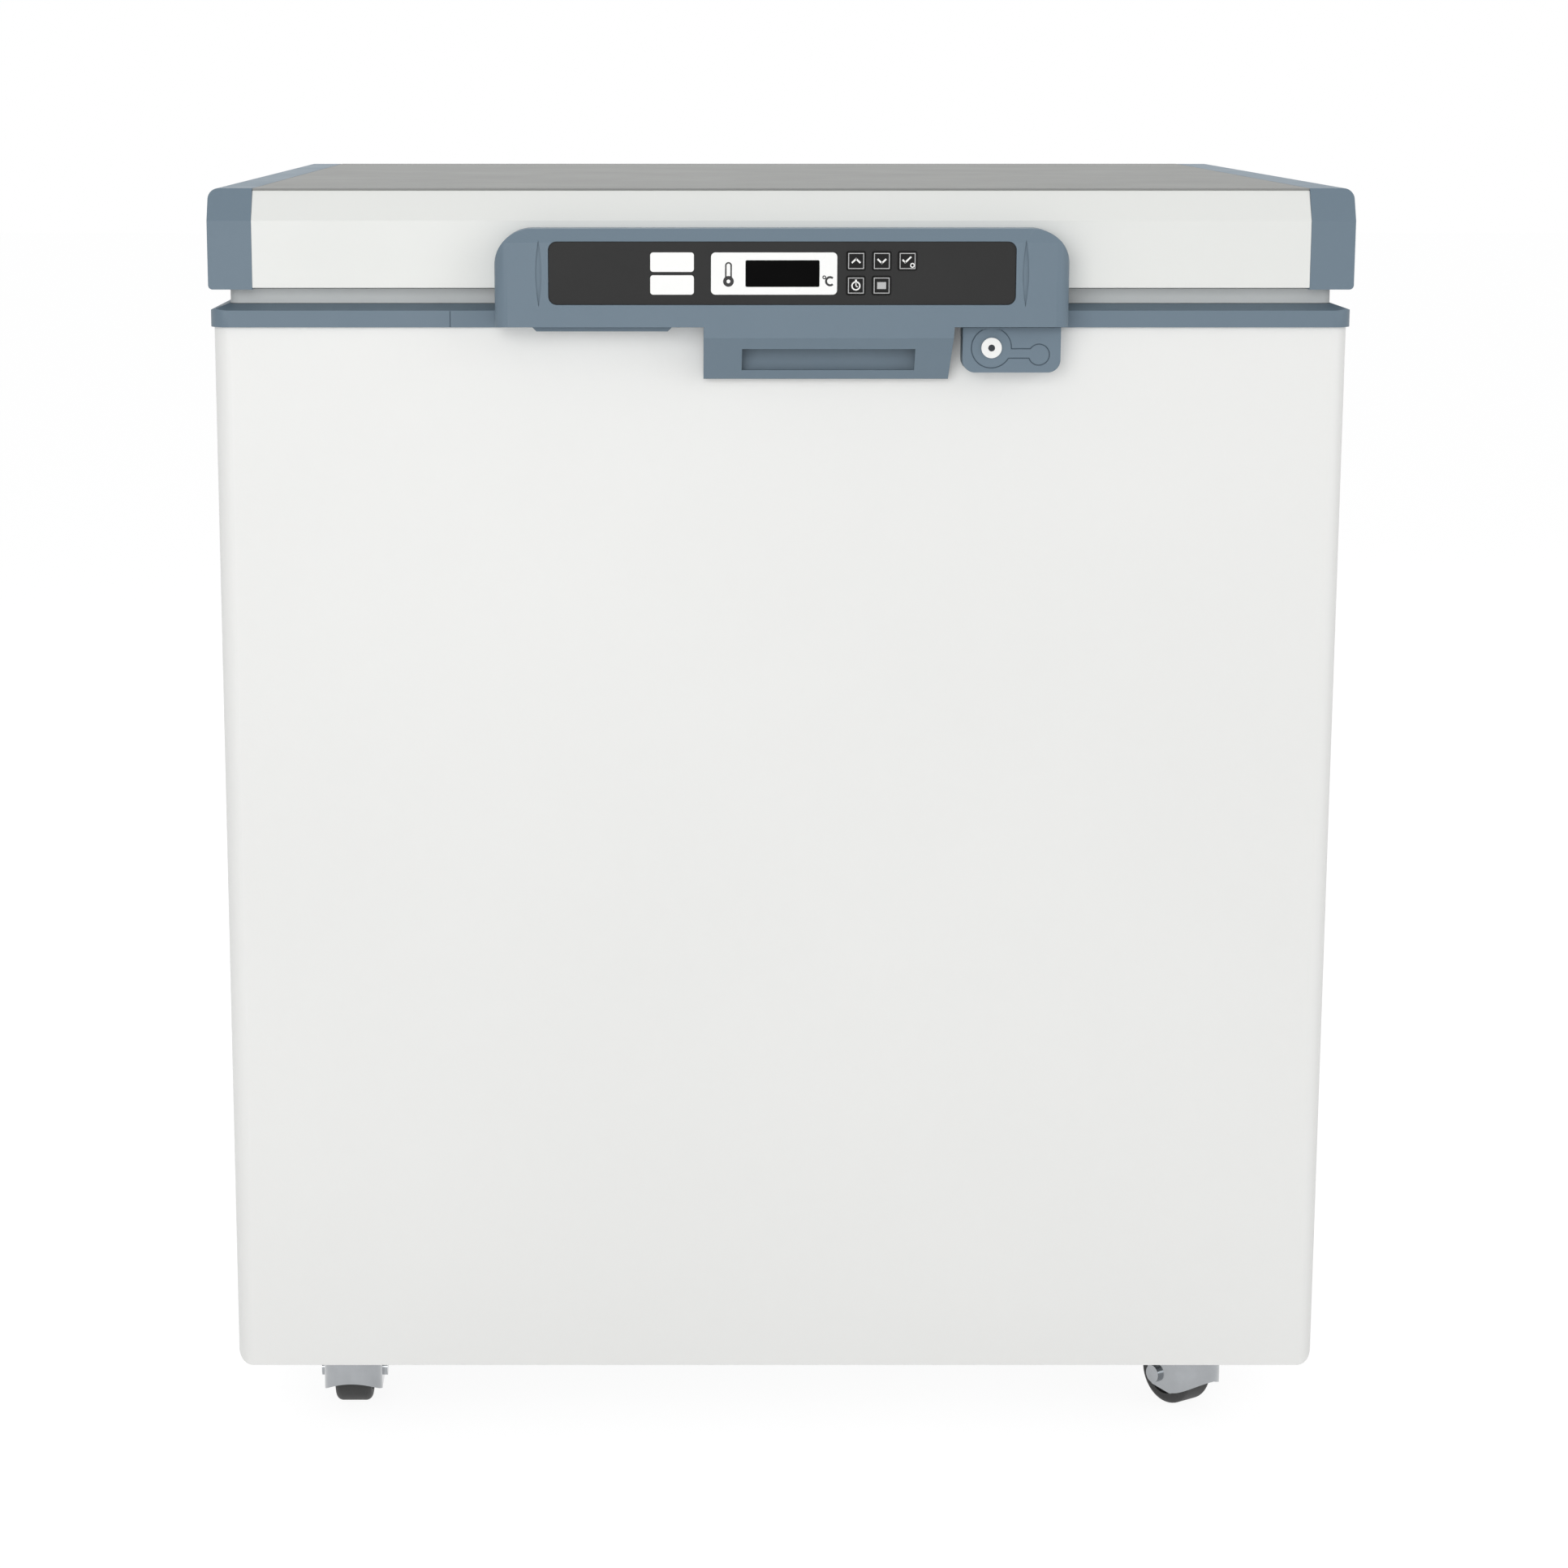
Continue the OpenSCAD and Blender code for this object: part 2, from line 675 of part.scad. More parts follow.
// Fin pack between two end plates, with return bends outside the plates.
module condenser() {
  x0 = cond_x0;
  x1 = cond_x1;
  n = 14;
  color("silver") {
    for (x = [x0, x1 - 2]) span([x, cond_y0, pan_top], [x + 2, cond_y0 + cond_d, pan_top + cond_h]);
    span([x0 + 1, cond_y0 + 14, pan_top + 20], [x1 - 1, cond_y0 + cond_d - 14, pan_top + cond_h - 16]);
    for (i = [1 : n])
      span([x0 + i * (x1 - x0) / (n + 1) - 0.4, cond_y0 + 3, pan_top + 12],
        [x0 + i * (x1 - x0) / (n + 1) + 0.4, cond_y0 + cond_d - 3, pan_top + cond_h - 8]);
    for (k = [0 : 5]) bend(k % 2 == 0 ? x1 - 1 : x0 + 1, row0_z + k * tube_dz, k % 2 == 0 ? 1 : -1);
    rod_x(cond_tube_y, row0_z, x0 - 4, x0 + 1, tube_r);
    rod_x(cond_tube_y, row6_z, x1 - 1, x1 + 4, tube_r);
  }
}

// Return bend between two tube rows, standing out from an end plate.
module bend(x, z, s) {
  translate([x, cond_tube_y, z + tube_dz / 2]) rotate([90, 0, 0]) rotate([0, 0, -90 * s])
    rotate_extrude(angle = 180) translate([tube_dz / 2, 0]) circle(tube_r);
}

module fan_bracket() {
  x0 = cond_x0;
  x1 = cond_x1;
  color("gray") {
    difference() {
      union() {
        span([x0, shroud_y, pan_top], [x1, shroud_y + shroud_t, pan_top + cond_h]);
        rod_y(fan_x, fan_z, shroud_y, shroud_y + 18, fan_r + 4);
      }
      rod_y(fan_x, fan_z, shroud_y - eps, shroud_y + 18 + eps, fan_r + 2);
    }
    for (x = [x0, x1 - 2]) {
      span([x, cond_y0 + cond_d, pan_top], [x + 2, shroud_y + 0.5, pan_top + cond_h]);
      span([x, shroud_y + shroud_t - 0.5, fan_z - 12], [x + 2, motor_y, fan_z + 12]);
    }
    span([x0, motor_y, fan_z - 12], [x1, motor_y + 2, fan_z + 12]);
  }
}

module fan_motor() {
  color("darkslategray") {
    rod_y(fan_x, fan_z, motor_y - motor_l, motor_y, 22);
    rod_y(fan_x, fan_z, motor_y - motor_l - 4, motor_y - motor_l + 1, 8);
    rod_y(fan_x, fan_z, shroud_y + 5, motor_y - motor_l, shaft_r);
  }
}

module fan_blade() {
  color("black") difference() {
    union() {
      rod_y(fan_x, fan_z, shroud_y + 5, shroud_y + 19, 14);
      intersection() {
        for (a = [0 : 72 : 288])
          translate([fan_x, shroud_y + 12, fan_z]) rotate([0, a, 0]) rotate([0, 0, 26])
            span([-1, -22, 10], [1, 22, fan_r + 6]);
        rod_y(fan_x, fan_z, shroud_y + 6, shroud_y + 18, fan_r);
      }
      intersection() {
        for (a = [0 : 72 : 288])
          translate([fan_x, shroud_y + 12, fan_z]) rotate([0, a, 0]) rotate([0, 0, 64])
            span([-1, -26, 10], [1, 26, fan_r + 6]);
        rod_y(fan_x, fan_z, shroud_y + 6, shroud_y + 18, fan_r);
      }
    }
    rod_y(fan_x, fan_z, shroud_y, shroud_y + 20, shaft_r + run_fit);
  }
}

module filter_drier() {
  y = drier_y;
  x = drier_x;
  color("peru") {
    post(x, y, drier_z, drier_z + 90, 11);
    post(x, y, drier_z - 14, drier_z + 104, 4.5);
  }
  color("silver") span([mc_x, y - 6, drier_z + 38], [x - 5, y + 6, drier_z + 52]);
}

// One straight run between two points that differ along a single axis.
module run(p, q, r) {
  d = q - p;
  translate(p)
    rotate([0, 0, d[1] != 0 ? sign(d[1]) * 90 : d[0] < 0 ? 180 : 0])
      rotate([0, d[2] != 0 ? -90 * sign(d[2]) : 0, 0])
        rotate([0, 90, 0]) cylinder(h = norm(d), r = r);
}

// Tube through a list of points, with a brazed fitting at every bend.
module tubing(pts) {
  n = len(pts) - 1;
  e = line_r + 0.4;
  for (i = [0 : n - 1]) {
    u = (pts[i + 1] - pts[i]) / norm(pts[i + 1] - pts[i]);
    run(pts[i] + (i > 0 ? e : 0) * u, pts[i + 1] - (i < n - 1 ? e : 0) * u, line_r);
  }
  for (i = [1 : n - 1]) translate(pts[i]) cube(2 * e + 2, center = true);
}

module refrigerant_lines() {
  cz = pan_top + foot_h + 3;
  x0 = cond_x0;
  x1 = cond_x1;
  zb = row0_z;
  zt = row6_z;
  yd = drier_y;
  xs = drier_x;
  color("peru") {
    tubing([
      [fan_x, comp_y - comp_r - 14 - seat, cz + hot_z], [fan_x, motor_y + 16, cz + hot_z],
      [fan_x, motor_y + 16, line_top], [fan_x, cond_tube_y, line_top], [x1 + 14, cond_tube_y, line_top],
      [x1 + 14, cond_tube_y, zt], [x1 + 4 + seat, cond_tube_y, zt]
    ]);
    tubing([
      [x0 - 4 - seat, cond_tube_y, zb], [x0 - 14, cond_tube_y, zb], [x0 - 14, yd, zb],
      [x0 - 14, yd, drier_z - 34], [xs, yd, drier_z - 34], [xs, yd, drier_z - 14 - seat]
    ]);
    tubing([
      [xs, yd, drier_z + 104 + seat], [xs, yd, drier_z + 124], [mc_x + seat, yd, drier_z + 124]
    ]);
    tubing([
      [fan_x - cold_x, comp_y + comp_r + 12 + seat, cz + term_z],
      [fan_x - cold_x, comp_y + comp_r + 24, cz + term_z], [mc_x + seat, comp_y + comp_r + 24, cz + term_z]
    ]);
  }
}

module temperature_probe() {
  y = tub_y1 - liner_t - 7;
  color("silver") {
    post(port_x + 60, y, port_z - 40, port_z + 30, 3);
    for (z = [port_z - 30, port_z + 16])
      difference() {
        span([port_x + 54, y - 5, z], [port_x + 66, tub_y1 - liner_t, z + 8]);
        post(port_x + 60, y, z - eps, z + 8 + eps, 3.05);
      }
  }
}

module control_box() {
  y = comp_y + comp_r + 34;
  color("gray") {
    span([mc_x, y, box_z], [mc_x + 46, y + 76, box_z + 120]);
    span([mc_x + 45.5, y + 4, box_z + 4], [mc_x + 48, y + 72, box_z + 116]);
  }
}

// Appliance inlet let into the back panel.
module power_inlet() {
  color("black") {
    difference() {
      union() {
        span([inlet_x - 14 + seat, cy1 - 24, inlet_z - 10 + seat],
          [inlet_x + 14 - seat, cy1 + 0.5, inlet_z + 10 - seat]);
        span([inlet_x - 19, cy1, inlet_z - 14], [inlet_x + 19, cy1 + 2.5, inlet_z + 14]);
      }
      span([inlet_x - 12, cy1 - 16, inlet_z - 8], [inlet_x + 12, cy1 + 4, inlet_z + 8]);
    }
    for (i = [-1, 0, 1])
      span([inlet_x + i * 7 - 1, cy1 - 17, inlet_z - 2 + 2 * abs(i) - 2],
        [inlet_x + i * 7 + 1, cy1 - 5, inlet_z + 2 + 2 * abs(i) - 2]);
  }
}

module access_port() {
  color("white") difference() {
    union() {
      rod_y(port_x, port_z, tub_y1 - liner_t - 2, cy1 + 1.5, port_r);
      rod_y(port_x, port_z, cy1, cy1 + 2, port_r + 6);
    }
    rod_y(port_x, port_z, tub_y1 - liner_t - 3, cy1 + 3, port_r - 2.5);
  }
}

module port_plug() {
  color("gray") {
    rod_y(port_x, port_z, cy1 - 40, cy1 + 2, port_r - 2.5 - seat);
  }
}

// Outline round the key cylinder, moved inwards by i.
module lock_outline(i) {
  translate([cyl_px, cyl_pz]) circle(14 - i);
  translate([lock_x0 + lock_w - 14.7, lock_z0 + 12.1]) circle(7.5 - i);
  translate([cyl_px, lock_z0 + 9.3 + i])
    square([lock_x0 + lock_w - 14.7 - cyl_px, 7.2 - 2 * i]);
}

module lock_housing() {
  x1 = lock_x0 + lock_w;
  color("slategray") difference() {
    along_y(lock_y, cy0) urect(lock_x0, lock_z0, x1, lock_z1, lock_r);
    along_y(lock_y + lock_t, cy0 + eps)
      urect(lock_x0 + lock_t, lock_z0 + lock_t, x1 - lock_t, lock_z1 - lock_t, lock_r - lock_t);
    rod_y(cyl_px, cyl_pz, lock_y - eps, lock_y + lock_t + eps, barrel_r + run_fit);
    difference() {
      along_y(lock_y - eps, lock_y + 0.5) intersection() {
        lock_outline(0);
        translate([lock_x0, lock_z0]) square([lock_w, lock_h - 0.8]);
      }
      along_y(lock_y - 2 * eps, lock_y + 0.6) lock_outline(0.8);
    }
    span([lock_x0 - eps, y0 - seat, rim_z - seat], [x1 + eps, cy0 + eps, lock_z1 + eps]);
    span([hook_x - lip - 1, cam_y - 5, lock_z1 - lock_t - eps],
      [hook_x + hook_t + 1, cam_y + cam_t + 2.5, lock_z1 + eps]);
  }
}

module lock_cylinder() {
  color("silver") difference() {
    union() {
      rod_y(cyl_px, cyl_pz, lock_y - 1.8, lock_y - seat, ring_r);
      rod_y(cyl_px, cyl_pz, lock_y - 1, cam_y + cam_t, barrel_r);
      intersection() {
        span([cyl_px - 3.5, cam_y, cyl_pz], [cyl_px + 3.5, cam_y + cam_t, cyl_pz + cam_r]);
        rod_y(cyl_px, cyl_pz, cam_y - eps, cam_y + cam_t + eps, cam_r);
      }
    }
    rod_y(cyl_px, cyl_pz, lock_y - 3, lock_y + 2, 1.6);
  }
}

module lock_striker() {
  ya = cam_y - 1.5;
  yb = cam_y + cam_t + 1.5;
  color("silver") {
    span([hook_x, ya, lip_z], [hook_x + hook_t, yb, hous_z0 + hous_t + 0.5]);
    span([hook_x - lip, ya, lip_z], [hook_x + 0.5, yb, lip_z + 4]);
    span([hook_x - 6, ya - 3, hous_z0 + hous_t], [hook_x + hook_t + 6, yb + 1, hous_z0 + hous_t + 2]);
  }
}

module hinge_brackets() {
  h = hinge_w / 2;
  color("silver") for (s = [-1, 1]) translate([s * hinge_x, 0, 0]) {
    span([-h, cy1, rim_z - 56], [h, cy1 + hinge_t, rim_z - seat]);
    for (x = [-h, h - hinge_t]) difference() {
      union() {
        rod_x(pivot_y, pivot_z, x, x + hinge_t, ear_r);
        along_x(x, x + hinge_t) polygon([
          [y1 + 1.5, pivot_z], [pivot_y + ear_r - 0.5, pivot_z], [pivot_y + ear_r - 0.5, rim_z],
          [cy1 + hinge_t - 0.5, rim_z - 50], [cy1 + hinge_t - 0.5, rim_z - 4], [y1 + 1.5, rim_z - 4]
        ]);
      }
      rod_x(pivot_y, pivot_z, x - eps, x + hinge_t + eps, pin_r + run_fit);
    }
  }
}

module hinge_pins() {
  h = hinge_w / 2;
  color("gray") for (s = [-1, 1]) translate([s * hinge_x, 0, 0]) {
    rod_x(pivot_y, pivot_z, -h - seat - 1, h + seat + 1, pin_r);
    rod_x(pivot_y, pivot_z, -h - seat - 2.5, -h - seat, pin_r + 2);
    rod_x(pivot_y, pivot_z, h + seat, h + seat + 2.5, pin_r + 2);
  }
}

module hinge_arms() {
  h = hinge_w / 2 - hinge_t - seat;
  color("silver") for (s = [-1, 1]) translate([s * hinge_x, 0, 0]) difference() {
    union() {
      rod_x(pivot_y, pivot_z, -h, h, ear_r - 1.5);
      along_x(-h, h) polygon([
        [y1, lid_z + 3], [y1, pivot_z + 56], [y1 + hinge_t, pivot_z + 56], [y1 + hinge_t, pivot_z + 16],
        [pivot_y + 3, pivot_z + 6], [pivot_y + 3, pivot_z], [pivot_y - 6.5, pivot_z], [y1 + 2.5, lid_z + 3]
      ]);
    }
    rod_x(pivot_y, pivot_z, -h - eps, h + eps, pin_r + run_fit);
  }
}

// Swivel plate, race and king pin of every caster.
module caster_plates() {
  color("silver") for (c = CASTERS) translate([c[0], c[1], 0]) {
    difference() {
      along_z(plate_z, pan_z) rrect(-plate_s / 2, -plate_s / 2, plate_s / 2, plate_s / 2, 5);
      for (x = [-bolt_x, bolt_x], y = [-bolt_x, bolt_x]) post(x, y, plate_z - eps, pan_z + eps, 3.2);
    }
    post(0, 0, fork_z + seat, plate_z + 0.5, 15);
    post(0, 0, fork_z - fork_top - 1.8, fork_z + 1, 5);
    post(0, 0, fork_z - fork_top - 1.8, fork_z - fork_top - seat, 7);
  }
}

module caster_bolts() {
  color("gray") for (c = CASTERS, x = [-bolt_x, bolt_x], y = [-bolt_x, bolt_x])
    translate([c[0] + x, c[1] + y, 0]) {
      post(0, 0, plate_z - 3.8, pan_top + nut_h - 1, 3);
      translate([0, 0, plate_z - 3.8]) cylinder(h = 3.8, r = 5.5, $fn = 6);
      translate([0, 0, pan_top]) cylinder(h = nut_h, r = 5.5, $fn = 6);
    }
}

// Hooded fork with its axle, nose towards -Y, swivel axis on Z.
module fork() {
  i = hood_r - fork_t;
  difference() {
    intersection() {
      along_z(14, fork_z) {
        circle(hood_r);
        translate([-hood_r, 0]) square([2 * hood_r, trail + 9]);
      }
      along_x(-hood_r - eps, hood_r + eps) polygon([
        [-hood_r - eps, 14], [-hood_r - eps, fork_z + eps], [8, fork_z + eps],
        [trail + 8, wheel_r + 7], [trail + 8, wheel_r - 4], [trail + 3, wheel_r - 9], [0, 14]
      ]);
    }
    along_z(10, fork_z - fork_top) {
      circle(i);
      translate([-i, 0]) square([2 * i, trail + 20]);
    }
    rod_y(0, arch_z - arch_r, -hood_r - 5, -2, arch_r);
    post(0, 0, fork_z - fork_top - eps, fork_z + eps, 5 + run_fit);
  }
  rod_x(trail, wheel_r, -hood_r - 1, hood_r + 1, axle_r);
  for (x = [-hood_r - 3, hood_r]) rod_x(trail, wheel_r, x, x + 3, axle_r + 2.5);
}

module wheel() {
  h = wheel_w / 2;
  k = hood_r - fork_t - seat;
  b = axle_r + run_fit;
  translate([0, trail, wheel_r]) rotate([0, 90, 0]) {
    rotate_extrude() difference() {
      union() {
        translate([b, -h]) square([wheel_r - 5 - b, 2 * h]);
        translate([b, -h + 5]) square([wheel_r - b, 2 * h - 10]);
        for (y = [-h + 5, h - 5]) translate([wheel_r - 5, y]) circle(5);
      }
      translate([b + 5, h - 3]) square([8, 4]);
      translate([b + 5, -h - 1]) square([8, 4]);
    }
    rotate_extrude() translate([b, -k]) square([4, 2 * k]);
  }
}

module at_caster(i) {
  translate([CASTERS[i][0], CASTERS[i][1], 0]) rotate([0, 0, CASTERS[i][2]]) children();
}

module caster_fork_fl() { color("lightsteelblue") at_caster(0) fork(); }
module caster_fork_fr() { color("lightsteelblue") at_caster(1) fork(); }
module caster_fork_rl() { color("lightsteelblue") at_caster(2) fork(); }
module caster_fork_rr() { color("lightsteelblue") at_caster(3) fork(); }
module caster_wheel_fl() { color("black") at_caster(0) wheel(); }
module caster_wheel_fr() { color("black") at_caster(1) wheel(); }
module caster_wheel_rl() { color("black") at_caster(2) wheel(); }
module caster_wheel_rr() { color("black") at_caster(3) wheel(); }

module lid_front_panel() {
  z0 = lid_z + panel_up;
  zt = total_h - panel_t;
  zc = total_h - lean_h;
  color("white") along_x(-cap_x, cap_x) polygon([
    [y0, z0], [y0, zc], [y0 + lean_d, zt], [y0 + lean_d + 16, zt], [y0 + lean_d + 16, zt - panel_t],
    [y0 + lean_d + 1, zt - panel_t], [y0 + panel_t, zc - 0.4], [y0 + panel_t, z0 + panel_t],
    [y0 + 18, z0 + panel_t], [y0 + 18, z0]
  ]);
}

module lid_rear_panel() {
  z0 = lid_z + panel_up;
  zt = total_h - panel_t;
  color("white") along_x(-cap_x, cap_x) polygon([
    [y1, z0], [y1, zt], [y1 - 18, zt], [y1 - 18, zt - panel_t], [y1 - panel_t, zt - panel_t],
    [y1 - panel_t, z0 + panel_t], [y1 - 18, z0 + panel_t], [y1 - 18, z0]
  ]);
}

module lid_top_panel() {
  color("darkgray") span([-cap_x, y0 + lean_d, total_h - panel_t], [cap_x, y1 - 1, total_h]);
}

// Side outline of the lid, moved inwards by i.
module lid_side(i) {
  polygon([
    [y0 + i, lid_z + i], [y0 + i, total_h - lean_h - 0.27 * i], [y0 + lean_d + 0.7 * i, total_h - i],
    [y1 - 6 - 0.4 * i, total_h - i], [y1 - i, total_h - 6 - 0.4 * i], [y1 - i, lid_z + i]
  ]);
}

// Moulded end cap at the right, open towards the lid's middle.
module end_cap() {
  l = lid_w / 2;
  color("slategray") difference() {
    intersection() {
      along_x(cap_x, l) lid_side(0);
      along_y(y0 - eps, y1 + eps) {
        translate([cap_x - eps, lid_z]) square([cap_w + eps - cap_r, lid_h]);
        translate([cap_x - eps, lid_z + 3]) square([cap_w + eps, lid_h - cap_r - 3]);
        translate([l - cap_r, total_h - cap_r]) circle(cap_r);
        translate([l - cap_r, lid_z]) square([cap_r - 3, 10]);
        translate([l - 3, lid_z + 3]) circle(3);
      }
    }
    along_x(cap_x - eps, l - cap_t - 2) lid_side(cap_t);
  }
}

module lid_end_cap_right() { end_cap(); }
module lid_end_cap_left() { mirror([1, 0, 0]) end_cap(); }

// Outline of the lid's plug, moved inwards by i.
module plug_plan(i) {
  m = tub_x - liner_t - plug_gap - i;
  rrect(-m, tub_y0 + liner_t + plug_gap + i, m, tub_y1 - liner_t - plug_gap - i, liner_r - liner_t - i);
}

module lid_foam() {
  color("khaki") {
    difference() {
      along_x(-lid_w / 2 + cap_t + 2 + seat, lid_w / 2 - cap_t - 2 - seat) lid_side(cap_t + seat);
      along_z(lid_z, lid_z + dish_t + panel_up + panel_t + 1) square(3 * lid_w, center = true);
    }
    along_z(lid_z - plug_h + dish_t + seat, lid_z + dish_t + panel_up + panel_t + 2) plug_plan(dish_t + seat);
  }
}

module lid_inner_dish() {
  l = cap_x - seat;
  z1 = lid_z + dish_t;
  color("whitesmoke") difference() {
    union() {
      along_z(lid_z, z1) rrect(-l, y0 + 18 + seat, l, y1 - 18 - seat, 3);
      along_z(lid_z - plug_h, z1) plug_plan(0);
    }
    along_z(lid_z - plug_h + dish_t, z1 + eps) plug_plan(dish_t);
  }
}

module lid_gasket() {
  z0 = rim_top + seat;
  l = lid_w / 2 - gasket_in;
  w = gasket_w;
  color("darkgray") difference() {
    along_z(z0, lid_z) rrect(-l, y0 + gasket_in, l, y1 - gasket_in, 6);
    along_z(z0 - eps, lid_z + eps) rrect(-l + w, y0 + gasket_in + w, l - w, y1 - gasket_in - w, 4);
    difference() {
      along_z(z0 + 2, lid_z - 3) rrect(-l + 2, y0 + gasket_in + 2, l - 2, y1 - gasket_in - 2, 4);
      along_z(z0 + 1, lid_z - 2)
        rrect(-l + w - 2, y0 + gasket_in + w - 2, l - w + 2, y1 - gasket_in - w + 2, 6);
    }
  }
}

// The housing's outside form, moved inwards by i, between two Y positions.
module housing_form(i, ya, yb) {
  w = hous_w / 2 - i;
  intersection() {
    along_y(ya, yb) mirror([0, 1]) translate([0, -hous_z0 - hous_z1])
      urect(-w, hous_z0 + i, w, hous_z1 - i, hous_r - i);
    along_x(-w, w) polygon([
      [hous_y + i, hous_z0 + i], [hous_y + i, hous_z1 - 9 - i / 2], [hous_y + 6 + i / 2, hous_z1 - i],
      [y0 + eps, hous_z1 - i], [y0 + eps, hous_z0 + i]
    ]);
    along_z(hous_z0, hous_z1) urect(-w, hous_y + i, w, y0 + eps, 9 - i);
  }
}

module tongue_side(t, z) {
  d = t * sqrt(1 + tongue_s * tongue_s) / tongue_s;
  zf = tongue_zc - (t - d) * tongue_s;
  yb = y0 - 1 - t;
  polygon([
    [hous_y + t, z], [hous_y + t, zf],
    [t == 0 ? y0 - 4 : yb, t == 0 ? tongue_z : zf - (yb - hous_y - t) * tongue_s],
    [yb, t == 0 ? tongue_z : zf - (yb - hous_y - t) * tongue_s], [yb, z]
  ]);
}

module lens(s) {
  translate([s * groove_x, hous_z0 + 35.9, 0]) intersection() {
    translate([groove_r - groove_w / 2, 0]) circle(groove_r, $fn = 160);
    translate([-groove_r + groove_w / 2, 0]) circle(groove_r, $fn = 160);
  }
}

module handle_housing() {
  w = hous_w / 2;
  color("slategray") difference() {
    union() {
      housing_form(0, hous_y, y0 - 1);
      intersection() {
        housing_form(0, y0 - 2, y0);
        span([-w, y0 - 3, lid_z + panel_up + 1], [w, y0 + 1, hous_z1]);
      }
      intersection() {
        along_x(tongue_x0, tongue_x1) tongue_side(0, hous_z0 + 1);
        along_y(hous_y - eps, y0) polygon([
          [tongue_x0, hous_z0 + 1], [tongue_x1, hous_z0 + 1], [tongue_x1 - 2.5, tongue_z],
          [tongue_x0, tongue_z]
        ]);
      }
      along_y(hous_y + 9, y0 - 1) polygon([
        [lip_x0, hous_z0 + 1], [lip_x0, hous_z0], [lip_x0 + lip_h, hous_z0 - lip_h],
        [lip_x1 - lip_h, hous_z0 - lip_h], [lip_x1, hous_z0], [lip_x1, hous_z0 + 1]
      ]);
    }
    housing_form(hous_t, hous_y + hous_t, y0 - 1 - hous_t);
    span([-w + hous_t + 9, y0 - 2 - hous_t, lid_z + 5], [w - hous_t - 9, y0 + eps, hous_z1 - hous_t - 12]);
    along_x(tongue_x0 + hous_t, tongue_x1 - hous_t - 2.5) tongue_side(hous_t, hous_z0);
    span([tongue_x0 + slot_side, hous_y - eps, tongue_z + slot_low],
      [tongue_x1 - slot_side, y0 - 4.5, tongue_z + slot_low + slot_h]);
    along_y(hous_y - eps, hous_y + hous_t + eps) fascia_plan(seat);
    for (s = [-1, 1]) along_y(hous_y - eps, hous_y + groove_d) lens(s);
    span([hook_x - seat, cam_y - 1.5 - seat, hous_z0 - eps],
      [hook_x + hook_t + seat, cam_y + cam_t + 1.5 + seat, hous_z0 + hous_t + eps]);
  }
}

// Outlines of the control panel's pieces, grown by g.
module fascia_plan(g) {
  w = fascia_w / 2 + g;
  rrect(-w, fascia_z - g, w, fascia_z + fascia_h + g, fascia_r + g);
}

// Square key place c, r as a rounded outline grown by g.
module key_plan(c, r, g) {
  x = key_x0 + c * key_dx;
  z = row_z + r * key_dz;
  rrect(x - g, z - g, x + key_s + g, z + key_s + g, 1.5);
}

module bezel_plan(g) { rrect(bezel_x0 - g, row_z - g, bezel_x0 + bezel_w + g, row_z + bezel_h + g, 3); }
module window_plan(g) {
  z = row_z + (bezel_h - window_h) / 2;
  rrect(window_x0 - g, z - g, window_x0 + window_w + g, z + window_h + g, 1);
}
module lamp_plan(r, g) {
  z = row_z + r * (bezel_h - lamp_h);
  rrect(lamp_x0 - g, z - g, lamp_x0 + lamp_w + g, z + lamp_h + g, 2);
}

module control_fascia() {
  ya = fascia_y;
  yb = fascia_y + fascia_t;
  color("dimgray") {
    difference() {
      along_y(ya, yb) fascia_plan(0);
      along_y(ya - eps, yb + eps) bezel_plan(seat);
      for (r = [0, 1]) along_y(ya - eps, yb + eps) lamp_plan(r, 0.25);
      for (k = KEYS) along_y(ya - eps, yb + eps) key_plan(k[0], k[1], seat);
    }
    for (x = [-98, 104], z = [fascia_z + 5, fascia_z + fascia_h - 5]) rod_y(x, z, yb - 0.5, board_y, 3);
  }
}

module display_bezel() {
  color("white") difference() {
    along_y(fascia_y - 0.4, fascia_y + fascia_t) bezel_plan(0);
    along_y(fascia_y - 2, fascia_y + fascia_t + eps) window_plan(seat);
  }
}

module display_window() {
  color("black") along_y(fascia_y - 0.1, fascia_y + fascia_t) window_plan(0);
}

module indicator_windows() {
  color("white") for (r = [0, 1]) along_y(fascia_y - 0.2, fascia_y + fascia_t) lamp_plan(r, 0);
}

module display_board() {
  color("green") {
    span([-104, board_y, fascia_z + 2], [110, board_y + 1.6, fascia_z + fascia_h - 2]);
    span([window_x0 - 3, fascia_y + fascia_t + seat, row_z + 3],
      [window_x0 + window_w + 3, board_y + 0.5, row_z + bezel_h - 3]);
    for (r = [0, 1])
      span([lamp_x0 + 3, fascia_y + fascia_t + seat, row_z + r * (bezel_h - lamp_h) + 3],
        [lamp_x0 + lamp_w - 3, board_y + 0.5, row_z + r * (bezel_h - lamp_h) + lamp_h - 3]);
    for (k = KEYS)
      translate([key_x0 + k[0] * key_dx + key_s / 2, 0, row_z + k[1] * key_dz + key_s / 2])
        span([-3, board_y - 2.6, -3], [3, board_y + 0.5, 3]);
  }
}

module one_key(k) {
  yb = fascia_y + fascia_t + seat;
  color("gray") {
    along_y(fascia_y - 1, yb + 0.5) key_plan(k[0], k[1], 0);
    along_y(yb, yb + 1.2) key_plan(k[0], k[1], 1);
  }
}

module key_screen() { one_key(KEYS[4]); }
module key_timer() { one_key(KEYS[3]); }
module key_set() { one_key(KEYS[2]); }
module key_down() { one_key(KEYS[1]); }
module key_up() { one_key(KEYS[0]); }

